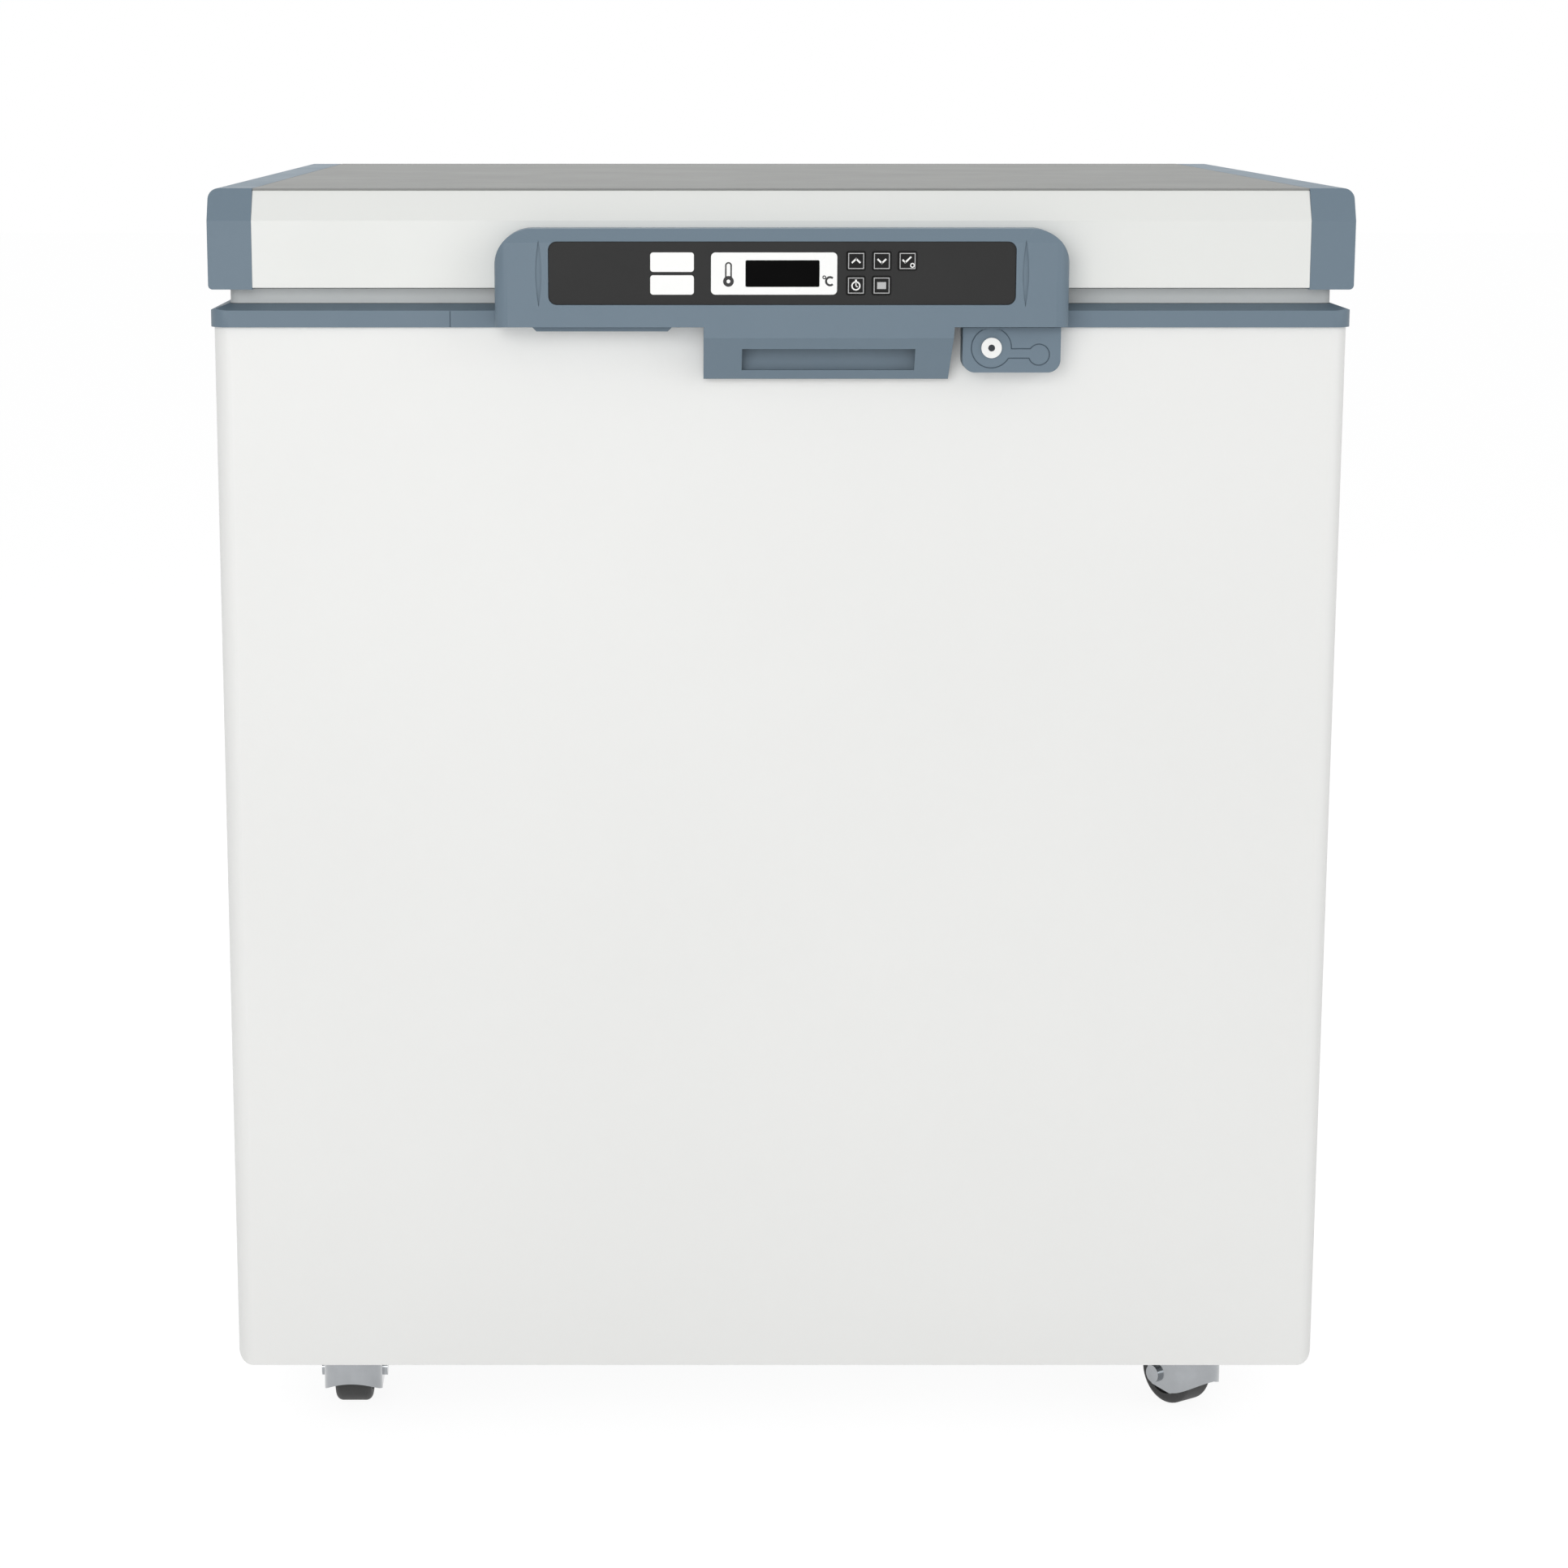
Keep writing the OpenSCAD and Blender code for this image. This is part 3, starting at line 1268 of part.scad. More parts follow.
base_pan();
outer_wrap();
back_panel();
bulkhead();
foam_body();
inner_liner();
breaker_frame();
rim_frame();
side_grille();
rear_grille();
compressor();
compressor_feet();
condenser();
fan_bracket();
fan_motor();
filter_drier();
refrigerant_lines();
evaporator_coil();
temperature_probe();
control_box();
power_inlet();
access_port();
port_plug();
lock_housing();
hinge_brackets();
hinge_pins();
caster_plates();
caster_bolts();
lid_front_panel();
lid_rear_panel();
lid_top_panel();
lid_end_cap_left();
lid_end_cap_right();
lid_foam();
lid_inner_dish();
lid_gasket();
handle_housing();
control_fascia();
display_bezel();
display_window();
indicator_windows();
display_board();
hinge_arms();
lock_striker();
key_up();
key_down();
key_set();
key_timer();
key_screen();
lock_cylinder();
fan_blade();
caster_fork_fl();
caster_fork_fr();
caster_fork_rl();
caster_fork_rr();
caster_wheel_fl();
caster_wheel_fr();
caster_wheel_rl();
caster_wheel_rr();
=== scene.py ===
# %% [markdown]
# # A small chest freezer for very low temperatures
# The CAD frame already holds every rigid piece in its right place. This lesson gives those pieces
# their finishes, adds the small printed and moulded details, and sets up a plain studio.

# %% Load the frame
import math

import bmesh
import bpy
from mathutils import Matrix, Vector


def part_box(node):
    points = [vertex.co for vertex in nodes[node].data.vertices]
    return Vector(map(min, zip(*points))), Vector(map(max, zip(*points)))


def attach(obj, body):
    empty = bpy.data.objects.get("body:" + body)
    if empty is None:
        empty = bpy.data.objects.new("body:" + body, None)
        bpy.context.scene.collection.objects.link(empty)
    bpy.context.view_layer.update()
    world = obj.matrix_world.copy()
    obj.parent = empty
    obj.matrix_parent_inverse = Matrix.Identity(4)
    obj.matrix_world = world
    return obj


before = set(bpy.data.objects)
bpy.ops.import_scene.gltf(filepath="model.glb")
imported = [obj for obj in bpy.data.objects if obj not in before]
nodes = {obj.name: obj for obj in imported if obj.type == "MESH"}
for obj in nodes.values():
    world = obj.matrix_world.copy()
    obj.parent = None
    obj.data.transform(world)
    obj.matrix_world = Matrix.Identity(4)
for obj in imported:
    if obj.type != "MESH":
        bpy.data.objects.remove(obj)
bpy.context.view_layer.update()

MM = 0.001

# %% [markdown]
# ## The camera
# A product photographer used a long lens, a little above the lid and slightly left of the middle.
# The tilt, lens and place below come from the picture's vanishing points, so the top of the lid
# foreshortens as it does there. A small sideways shift keeps the upright edges in frame.

# %% Camera
PICTURE_WIDTH = 1932.0  # pixels, as are the next two
FOCAL_LENGTH = 4481.0
SIDE_SHIFT = 131.0
SENSOR_WIDTH = 36.0  # millimetres
TILT_DOWN = 11.07  # degrees below level
LEFT_OF_MIDDLE, BEFORE_LID, ABOVE_FLOOR = 0.0703, 2.4946, 0.9773
lid_front_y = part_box("lid_front_panel")[0].y
camera_data = bpy.data.cameras.new("studio_camera")
camera_data.sensor_width = SENSOR_WIDTH
camera_data.lens = FOCAL_LENGTH / PICTURE_WIDTH * SENSOR_WIDTH
camera_data.shift_x = SIDE_SHIFT / PICTURE_WIDTH
camera_data.clip_end = 60.0
camera = bpy.data.objects.new("studio_camera", camera_data)
bpy.context.collection.objects.link(camera)
camera.location = (-LEFT_OF_MIDDLE, lid_front_y - BEFORE_LID, ABOVE_FLOOR)
camera.rotation_euler = (math.radians(90.0 - TILT_DOWN), 0.0, 0.0)
bpy.context.scene.camera = camera
print("camera stands", round(-camera.location.y, 3), "m in front of the middle")

# %% [markdown]
# ## White behind everything
# The background has to be white where the camera sees it, where chrome mirrors it and where glass
# would let it through, yet it may not throw that much light on the object. Light Path tells these
# rays apart, and the world and the floor both use the answer.

# %% Helpers for the background
def background_rays(tree):
    """1 for the rays that meet a white background: seen, mirrored or let through."""
    path = tree.nodes.new("ShaderNodeLightPath")
    found = path.outputs["Is Camera Ray"]
    for ray in ("Is Glossy Ray", "Is Transmission Ray"):
        larger = tree.nodes.new("ShaderNodeMath")
        larger.operation = "MAXIMUM"
        tree.links.new(found, larger.inputs[0])
        tree.links.new(path.outputs[ray], larger.inputs[1])
        found = larger.outputs[0]
    return found


def mix_to_output(tree, output_kind, share, first, second):
    """Leads a mix of two shaders to the tree's output; share is how much of the second shows."""
    mix = tree.nodes.new("ShaderNodeMixShader")
    tree.links.new(share, mix.inputs[0])
    tree.links.new(first.outputs[0], mix.inputs[1])
    tree.links.new(second.outputs[0], mix.inputs[2])
    tree.links.new(mix.outputs[0], tree.nodes.new(output_kind).inputs["Surface"])


# %% [markdown]
# ## The studio
# The real picture is soft and almost without shadow. A large lamp in front, a weaker one at the
# right and one overhead do this. The world looks white to the camera and to shiny pieces, but
# lights the object gently, so that the white paint doesn't clip.

# %% World
WORLD_LIGHT = 0.5
world = bpy.data.worlds.new("white_studio")
bpy.context.scene.world = world
world.use_nodes = True
tree = world.node_tree
tree.nodes.clear()
lit = tree.nodes.new("ShaderNodeBackground")
lit.inputs["Color"].default_value = (0.99, 0.995, 1, 1)
lit.inputs["Strength"].default_value = WORLD_LIGHT
seen = tree.nodes.new("ShaderNodeBackground")
seen.inputs["Color"].default_value = (1, 1, 1, 1)
seen.inputs["Strength"].default_value = 1.0
mix_to_output(tree, "ShaderNodeOutputWorld", background_rays(tree), lit, seen)
print("world lights the object at", WORLD_LIGHT)


# %% Lamps
def softbox(name, place, size, power, aim):
    """A rectangular lamp that points at aim; metres and watts."""
    lamp = bpy.data.lights.new(name, "AREA")
    lamp.shape = "RECTANGLE"
    lamp.size, lamp.size_y = size
    lamp.energy = power
    holder = bpy.data.objects.new(name, lamp)
    bpy.context.collection.objects.link(holder)
    holder.location = place
    holder.rotation_euler = (Vector(aim) - Vector(place)).to_track_quat("-Z", "Y").to_euler()
    return holder


softbox("front_softbox", (-1.0, -3.6, 1.5), (2.6, 2.0), 48, (0, 0, 0.5))
softbox("right_softbox", (2.6, -2.0, 1.6), (1.4, 2.0), 16, (0, 0, 0.5))
softbox("top_softbox", (0.0, 0.6, 3.0), (2.4, 2.0), 24, (0, 0, 0.8))
behind = softbox("back_softbox", (-1.2, 3.2, 1.8), (2.2, 1.8), 24, (0, 0, 0.5))
behind.visible_glossy = False

# %% [markdown]
# ## The floor
# A pale sheet. Most of what the camera sees of it is plain white, and the rest is ordinary matt
# paint, which keeps a faint shadow under the machine.

# %% Floor
FLOOR_SIZE = 40
FLOOR_DROP = 0.0004  # keeps the wheels from lying in the sheet
GLOW_SHARE, GLOW = 0.8, 1.13
bpy.ops.mesh.primitive_plane_add(size=FLOOR_SIZE, location=(0, 0, -FLOOR_DROP))
floor = bpy.context.object
floor.name = "studio_floor"
sheet = bpy.data.materials.new("pale_floor")
sheet.use_nodes = True
tree = sheet.node_tree
tree.nodes.clear()
matt = tree.nodes.new("ShaderNodeBsdfDiffuse")
matt.inputs["Color"].default_value = (0.9, 0.9, 0.9, 1)
glow = tree.nodes.new("ShaderNodeEmission")
glow.inputs["Color"].default_value = (1, 1, 1, 1)
glow.inputs["Strength"].default_value = GLOW
share = tree.nodes.new("ShaderNodeMath")
share.operation = "MULTIPLY"
share.inputs[1].default_value = GLOW_SHARE
tree.links.new(background_rays(tree), share.inputs[0])
mix_to_output(tree, "ShaderNodeOutputMaterial", share.outputs[0], matt, glow)
floor.data.materials.append(sheet)
print("floor:", FLOOR_SIZE, "m wide")


# %% [markdown]
# ## Shared surface effects
# Paint, plastic and metal all show a fine texture and a slow drift of tone. Each effect is a node
# group with named inputs, made once. A group only gives colours, values and heights, and the
# shader itself stays in the material.

# %% Group: drift of tone
def start_group(name, inputs, outputs):
    """A node group with the given sockets, and its two end nodes."""
    group = bpy.data.node_groups.new(name, "ShaderNodeTree")
    for title, kind, value in inputs:
        socket = group.interface.new_socket(title, in_out="INPUT", socket_type=kind)
        socket.default_value = value
    for title, kind in outputs:
        group.interface.new_socket(title, in_out="OUTPUT", socket_type=kind)
    return group, group.nodes.new("NodeGroupInput"), group.nodes.new("NodeGroupOutput")


def noise_at(group, scale_from, detail, rough=0.5):
    """Noise over the object's own metres, scaled by a group input or a number."""
    where = group.nodes.new("ShaderNodeTexCoord")
    noise = group.nodes.new("ShaderNodeTexNoise")
    noise.inputs["Detail"].default_value = detail
    noise.inputs["Roughness"].default_value = rough
    group.links.new(where.outputs["Object"], noise.inputs["Vector"])
    if isinstance(scale_from, (int, float)):
        noise.inputs["Scale"].default_value = scale_from
    else:
        group.links.new(scale_from, noise.inputs["Scale"])
    return noise


tone_drift, g_in, g_out = start_group(
    "tone_drift",
    [("Colour", "NodeSocketColor", (0.5, 0.5, 0.5, 1)), ("Scale", "NodeSocketFloat", 3.0),
     ("Amount", "NodeSocketFloat", 0.04)],
    [("Colour", "NodeSocketColor"), ("Mask", "NodeSocketFloat")])
drift = noise_at(tone_drift, g_in.outputs["Scale"], 3.0)
shade = tone_drift.nodes.new("ShaderNodeHueSaturation")
centre = tone_drift.nodes.new("ShaderNodeMath")
centre.operation = "SUBTRACT"
centre.inputs[1].default_value = 0.5
tone_drift.links.new(drift.outputs["Fac"], centre.inputs[0])
swing = tone_drift.nodes.new("ShaderNodeMath")
swing.operation = "MULTIPLY_ADD"
swing.inputs[2].default_value = 1.0
tone_drift.links.new(centre.outputs[0], swing.inputs[0])
tone_drift.links.new(g_in.outputs["Amount"], swing.inputs[1])
tone_drift.links.new(swing.outputs[0], shade.inputs["Value"])
tone_drift.links.new(g_in.outputs["Colour"], shade.inputs["Color"])
tone_drift.links.new(shade.outputs["Color"], g_out.inputs["Colour"])
tone_drift.links.new(drift.outputs["Fac"], g_out.inputs["Mask"])
print("group made:", tone_drift.name)

# %% Group: fine surface texture
SMUDGE_SCALE = 14.0
fine_texture, g_in, g_out = start_group(
    "fine_texture",
    [("Scale", "NodeSocketFloat", 900.0), ("Rough low", "NodeSocketFloat", 0.3),
     ("Rough high", "NodeSocketFloat", 0.4)],
    [("Height", "NodeSocketFloat"), ("Roughness", "NodeSocketFloat")])
fine = noise_at(fine_texture, g_in.outputs["Scale"], 2.0)
smudge = noise_at(fine_texture, SMUDGE_SCALE, 4.0, 0.6)
spread = fine_texture.nodes.new("ShaderNodeMapRange")
spread.inputs["From Min"].default_value = 0.3
spread.inputs["From Max"].default_value = 0.7
fine_texture.links.new(smudge.outputs["Fac"], spread.inputs["Value"])
fine_texture.links.new(g_in.outputs["Rough low"], spread.inputs["To Min"])
fine_texture.links.new(g_in.outputs["Rough high"], spread.inputs["To Max"])
fine_texture.links.new(fine.outputs["Fac"], g_out.inputs["Height"])
fine_texture.links.new(spread.outputs["Result"], g_out.inputs["Roughness"])
print("shared groups:", [g.name for g in bpy.data.node_groups])


# %% [markdown]
# ## Finishes
# The finishes differ in colour, gloss, the size of their texture and how far their tone drifts, so
# one recipe with those values makes them all. Zinc, chrome and copper drift the most, and foam has
# the deepest texture.

# %% Recipe for a finish
ROUGH_SPREAD = 0.05


def finish(name, colour, rough, texture=900.0, bump=0.1, depth=0.0002, metal=0.0,
           drift_amount=0.05, drift_scale=3.0, shine=0.5):
    """A material with a drifting tone, fine texture and roughness that varies a little."""
    made = bpy.data.materials.new(name)
    made.use_nodes = True
    tree = made.node_tree
    shader = tree.nodes["Principled BSDF"]
    shader.inputs["Metallic"].default_value = metal
    shader.inputs["Specular IOR Level"].default_value = shine
    tone = tree.nodes.new("ShaderNodeGroup")
    tone.node_tree = tone_drift
    tone.inputs["Colour"].default_value = (*colour, 1)
    tone.inputs["Scale"].default_value = drift_scale
    tone.inputs["Amount"].default_value = drift_amount
    tree.links.new(tone.outputs["Colour"], shader.inputs["Base Color"])
    grain = tree.nodes.new("ShaderNodeGroup")
    grain.node_tree = fine_texture
    grain.inputs["Scale"].default_value = texture
    grain.inputs["Rough low"].default_value = max(rough - ROUGH_SPREAD, 0.03)
    grain.inputs["Rough high"].default_value = rough + ROUGH_SPREAD
    tree.links.new(grain.outputs["Roughness"], shader.inputs["Roughness"])
    relief = tree.nodes.new("ShaderNodeBump")
    relief.inputs["Strength"].default_value = bump
    relief.inputs["Distance"].default_value = depth
    tree.links.new(grain.outputs["Height"], relief.inputs["Height"])
    tree.links.new(relief.outputs["Normal"], shader.inputs["Normal"])
    return made


def srgb(text):
    """Linear colour from a six-digit screen colour."""
    parts = [int(text[i:i + 2], 16) / 255 for i in (0, 2, 4)]
    return [c / 12.92 if c <= 0.04045 else ((c + 0.055) / 1.055) ** 2.4 for c in parts]


# %% Paint and plastic
white_paint = finish("white_powder_paint", srgb("e9e9e7"), 0.42, 700, 0.16)
lid_white = finish("lid_white_paint", srgb("e3e4e1"), 0.4, 700, 0.14)
lid_grey = finish("lid_grey_sheet", srgb("8b8c8a"), 0.6, 900, 0.1, drift_amount=0.03, shine=0.25)
blue_grey = finish("blue_grey_moulding", srgb("697a87"), 0.5, 2200, 0.22, drift_amount=0.04,
                   shine=0.4)
rim_blue = finish("rim_moulding", srgb("687986"), 0.5, 2200, 0.22, drift_amount=0.04, shine=0.4)
gasket_grey = finish("gasket_rubber", srgb("bfc2c2"), 0.62, 1500, 0.2)
pale_plastic = finish("pale_inner_plastic", srgb("d5d8d8"), 0.4, 1200, 0.12)
tub_paint = finish("tub_sheet", srgb("cfd3d4"), 0.36, 800, 0.14)
black_paint = finish("black_paint", srgb("2c2d2e"), 0.35, 500, 0.2)
black_plastic = finish("black_moulding", srgb("262728"), 0.5, 1800, 0.2)
grey_plastic = finish("grey_moulding", srgb("8c8f90"), 0.45, 1800, 0.2)
print("materials so far:", len(bpy.data.materials))

# %% Metal, foam and rubber
zinc = finish("zinc_plated_steel", srgb("b9bcbd"), 0.34, 60, 0.1, metal=1.0, drift_amount=0.3,
              drift_scale=40)
bright_steel = finish("bright_steel", srgb("d8dadb"), 0.2, 300, 0.06, metal=1.0, drift_amount=0.08)
chrome = finish("caster_chrome", srgb("a6a9ac"), 0.16, 300, 0.03, metal=1.0, drift_amount=0.3,
                drift_scale=60)
fins = finish("fin_aluminium", srgb("c3c6c9"), 0.36, 500, 0.1, metal=1.0, drift_amount=0.15)
copper = finish("drawn_copper", srgb("b87a54"), 0.32, 260, 0.08, metal=1.0, drift_amount=0.6,
                drift_scale=30)
foam = finish("cream_foam", srgb("d9c07c"), 0.85, 420, 0.9, depth=0.001, drift_amount=0.25,
              drift_scale=16)
tyre = finish("wheel_tread", srgb("3a3a3a"), 0.6, 1100, 0.25, drift_amount=0.2, drift_scale=20)
dark_rubber = finish("dark_rubber", srgb("2a2a2a"), 0.75, 1400, 0.3)
print("materials so far:", len(bpy.data.materials))

# %% Panel, print and lines
fascia_dark = finish("fascia_film", srgb("2b2b2b"), 0.5, 1600, 0.1, drift_amount=0.03, shine=0.18)
key_dark = finish("key_film", srgb("161616"), 0.5, 1600, 0.1, shine=0.15)
window_white = finish("window_white", srgb("f6f6f4"), 0.3, 1000, 0.03, drift_amount=0.01)
window_black = finish("window_black", srgb("030303"), 0.16, 1000, 0.02, drift_amount=0.02,
                      shine=0.02)
board_green = finish("board_green", srgb("1f5b36"), 0.4, 900, 0.2)
ring_white = finish("lock_ring_enamel", srgb("f0f0ee"), 0.3, 1000, 0.03, drift_amount=0.02)
print_white = finish("print_white", srgb("f2f2f0"), 0.5, 1000, 0.02, drift_amount=0.02)
print_grey = finish("print_grey", srgb("b4b4b4"), 0.5, 1000, 0.02, drift_amount=0.02)
print_dark = finish("print_dark", srgb("1c1c1c"), 0.5, 1000, 0.02, drift_amount=0.02)
# Painted shade: a dark stand-in for the shade inside the screw slots and the keyhole.
painted_slot_and_hole_shade = finish("seam_shadow", srgb("30343a"), 0.8, 1000, 0.05)
# Painted shade: a dark stand-in for the shade in the rim's seam and in the groove round the lock.
painted_line_shade = finish("lock_line_shadow", srgb("4a5965"), 0.8, 1000, 0.05)
print("materials with the floor:", len(bpy.data.materials))

# %% [markdown]
# ## Which piece wears which finish
# A table from finish to pieces is easy to read and to change. Every CAD piece is in it once, and
# the last line would name one that was left out.

# %% Dress the CAD pieces
KEYS = ["key_up", "key_down", "key_set", "key_timer", "key_screen"]
CASTERS = ["fl", "fr", "rl", "rr"]
dress = {
    white_paint: ["outer_wrap", "back_panel", "side_grille", "rear_grille"],
    lid_white: ["lid_front_panel", "lid_rear_panel"],
    lid_grey: ["lid_top_panel"],
    blue_grey: ["handle_housing", "lid_end_cap_left", "lid_end_cap_right", "lock_housing"],
    rim_blue: ["rim_frame"],
    gasket_grey: ["lid_gasket", "port_plug"],
    pale_plastic: ["breaker_frame", "lid_inner_dish", "access_port"],
    tub_paint: ["inner_liner"],
    zinc: ["base_pan", "bulkhead", "hinge_brackets", "hinge_arms", "hinge_pins", "fan_bracket",
           "caster_bolts"],
    ring_white: ["lock_cylinder"],
    bright_steel: ["lock_striker", "temperature_probe"],
    chrome: ["caster_plates"] + ["caster_fork_" + place for place in CASTERS],
    fins: ["condenser"],
    copper: ["refrigerant_lines", "filter_drier", "evaporator_coil"],
    foam: ["foam_body", "lid_foam"],
    tyre: ["caster_wheel_" + place for place in CASTERS],
    black_paint: ["compressor", "fan_motor"],
    black_plastic: ["power_inlet", "fan_blade"],
    dark_rubber: ["compressor_feet"],
    grey_plastic: ["control_box"],
    fascia_dark: ["control_fascia"],
    window_white: ["display_bezel", "indicator_windows"],
    window_black: ["display_window"],
    board_green: ["display_board"],
    key_dark: KEYS,
}
for material, names in dress.items():
    for name in names:
        piece = nodes[name]
        piece.data.materials.clear()
        piece.data.materials.append(material)
undressed = sorted(set(nodes) - {name for names in dress.values() for name in names})
print("pieces without a finish:", undressed)

# %% [markdown]
# ## Softened edges
# Nothing moulded or folded has a razor edge. A weld and a narrow bevel catch the light along the
# edges, and leave the CAD form as it is.

# %% Bevels
WELD_GAP = 0.00001
SHARPEST_KEPT = 35  # degrees; flatter edges stay as they are
soft_edges = {
    "handle_housing": 0.9, "lid_end_cap_left": 0.8, "lid_end_cap_right": 0.8, "lock_housing": 0.7,
    "rim_frame": 0.7, "lid_front_panel": 0.5, "lid_top_panel": 0.5, "lid_gasket": 0.6,
    "display_bezel": 0.3, "indicator_windows": 0.3, "breaker_frame": 0.8, "lid_inner_dish": 0.6,
    "control_fascia": 0.2, "side_grille": 0.3, "rear_grille": 0.3, "key_up": 0.3, "key_down": 0.3,
    "key_set": 0.3, "key_timer": 0.3, "key_screen": 0.3,
}
for name, width in soft_edges.items():
    piece = nodes[name]
    weld = piece.modifiers.new("weld", "WELD")
    weld.merge_threshold = WELD_GAP
    bevel = piece.modifiers.new("soft_edge", "BEVEL")
    bevel.width = width * MM
    bevel.segments = 2
    bevel.limit_method = "ANGLE"
    bevel.angle_limit = math.radians(SHARPEST_KEPT)
    bevel.use_clamp_overlap = True
print("bevelled pieces:", len(soft_edges))


# %% [markdown]
# ## Printed signs on the control panel
# The keys, the thermometer and the unit are printed in one colour each. Every sign is a thin plate
# cut to its outline, a tenth of a millimetre proud, so that it stays sharp at any distance. The
# outlines are drawn in millimetres round a middle of their own, and then moved to their place.

# %% Plate helper
PROUD = 0.1 * MM
PLATE = 0.12 * MM


def put(name, form, materials, body):
    """Turns a bmesh into a piece with its finishes, on its body, and gives its mesh back."""
    mesh = bpy.data.meshes.new(name)
    form.to_mesh(mesh)
    form.free()
    for material in materials:
        mesh.materials.append(material)
    piece = bpy.data.objects.new(name, mesh)
    bpy.context.collection.objects.link(piece)
    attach(piece, body)
    return mesh


def plate(name, outlines, front, body, material):
    """Flat outlines in X and Z, in metres, as one thin plate whose face is at Y = front."""
    form = bmesh.new()
    for outline in outlines:
        near = [form.verts.new((x, front, z)) for x, z in outline]
        far = [form.verts.new((x, front + PLATE, z)) for x, z in outline]
        form.faces.new(near)
        form.faces.new(list(reversed(far)))
        for i in range(len(near)):
            k = (i + 1) % len(near)
            form.faces.new([near[k], near[i], far[i], far[k]])
    bmesh.ops.recalc_face_normals(form, faces=form.faces)
    put(name, form, [material], body)


# %% Outlines
def moved(outlines, x, z):
    """Outlines in millimetres, as metres round the middle (x, z)."""
    return [[(x + a * MM, z + b * MM) for a, b in outline] for outline in outlines]


def ring(cx, cz, outer, inner, sides=32, start=0.0, sweep=math.tau):
    """A band between two radii as a chain of four-sided outlines."""
    bands = []
    for i in range(sides):
        a = start + sweep * i / sides
        b = start + sweep * (i + 1) / sides
        bands.append([(cx + outer * math.cos(a), cz + outer * math.sin(a)),
                      (cx + outer * math.cos(b), cz + outer * math.sin(b)),
                      (cx + inner * math.cos(b), cz + inner * math.sin(b)),
                      (cx + inner * math.cos(a), cz + inner * math.sin(a))])
    return bands


def disc(cx, cz, radius, sides=28):
    """A filled circle as one outline."""
    turns = [math.tau * i / sides for i in range(sides)]
    return [(cx + radius * math.cos(turn), cz + radius * math.sin(turn)) for turn in turns]


def stroke(ax, az, bx, bz, width):
    """A straight stroke between two points as one outline."""
    run = Vector((bx - ax, bz - az)).normalized() * width / 2
    return [(ax - run.y, az + run.x), (ax + run.y, az - run.x),
            (bx + run.y, bz - run.x), (bx - run.y, bz + run.x)]


def square(half, width):
    """A square frame as four outlines: half is half its side."""
    edge = half - width
    return [[(-half, -half), (half, -half), (half, -edge), (-half, -edge)],
            [(-half, edge), (half, edge), (half, half), (-half, half)],
            [(-half, -edge), (-edge, -edge), (-edge, edge), (-half, edge)],
            [(edge, -edge), (half, -edge), (half, edge), (edge, edge)]]


# %% Key signs
KEY_HALF, KEY_LINE = 5.3, 0.55
key_signs = {
    "key_up": [stroke(-2.9, -1.3, 0.3, 1.7, 1.1), stroke(2.9, -1.3, -0.3, 1.7, 1.1)],
    "key_down": [stroke(-2.9, 1.3, 0.3, -1.7, 1.1), stroke(2.9, 1.3, -0.3, -1.7, 1.1)],
    "key_set": [stroke(-3.4, 0.8, -1.3, -1.2, 1.1), stroke(-1.8, -1.2, 2.4, 2.8, 1.1)]
               + ring(3.3, -2.9, 1.6, 0.9, 18),
    "key_timer": ring(0, -0.2, 3.1, 2.2)
                 + [stroke(0, -0.2, 0, 1.6, 0.7), stroke(0, -0.2, 1.2, -0.9, 0.7),
                    stroke(0, 2.8, 0, 4.0, 1.2)],
    "key_screen": [[(-3.0, -2.3), (3.0, -2.3), (3.0, 2.3), (-3.0, 2.3)]],
}
for name in KEYS:
    low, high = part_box(name)
    x, z = (low.x + high.x) / 2, (low.z + high.z) / 2
    face = low.y - PROUD
    plate(name + "_outline", moved(square(KEY_HALF, KEY_LINE), x, z), face, name, print_grey)
    plate(name + "_sign", moved(key_signs[name], x, z), face, name,
          print_grey if name == "key_screen" else print_white)
print("key signs:", len(key_signs))

# %% Thermometer and unit on the bezel
UNIT_HEIGHT = 9.0 * MM
low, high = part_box("display_bezel")
window_low, window_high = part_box("display_window")
face = low.y - PROUD
thermometer = ring(0, -5.2, 3.6, 1.3)
thermometer += [stroke(-1.8, -2.4, -1.8, 5.4, 1.0), stroke(1.8, -2.4, 1.8, 5.4, 1.0)]
thermometer += ring(0, 5.4, 2.3, 1.3, 14, 0, math.pi)
plate("thermometer_sign", moved(thermometer, (low.x + window_low.x) / 2, (low.z + high.z) / 2),
      face, "lid", print_dark)
unit = ring(-2.6, 2.6, 1.3, 0.6, 18)
unit += ring(1.3, 0, 3.4, 2.0, 26, math.radians(48), math.radians(264))
plate("unit_sign", moved(unit, (window_high.x + high.x) / 2, low.z + UNIT_HEIGHT),
      face, "lid", print_dark)
print("bezel signs: 2")

# %% [markdown]
# ## The keyhole and the seam of the rim
# Both are small gaps that lie in shade, and a thin dark plate of painted shade stands in for that.
# The keyhole rides on the lock's cylinder, so it turns with it.

# %% Keyhole
KEYHOLE_RADIUS = 2.3
low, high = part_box("lock_cylinder")
hole_x, hole_z = (low.x + high.x) / 2, low.z + (high.x - low.x) / 2
# The keyhole is a dark disc of painted shade on the cylinder's face.
plate("lock_keyhole", moved([disc(0, 0, KEYHOLE_RADIUS)], hole_x, hole_z), low.y - PROUD,
      "lock_cylinder", painted_slot_and_hole_shade)
print("keyhole at", round(hole_x, 4), round(hole_z, 4))

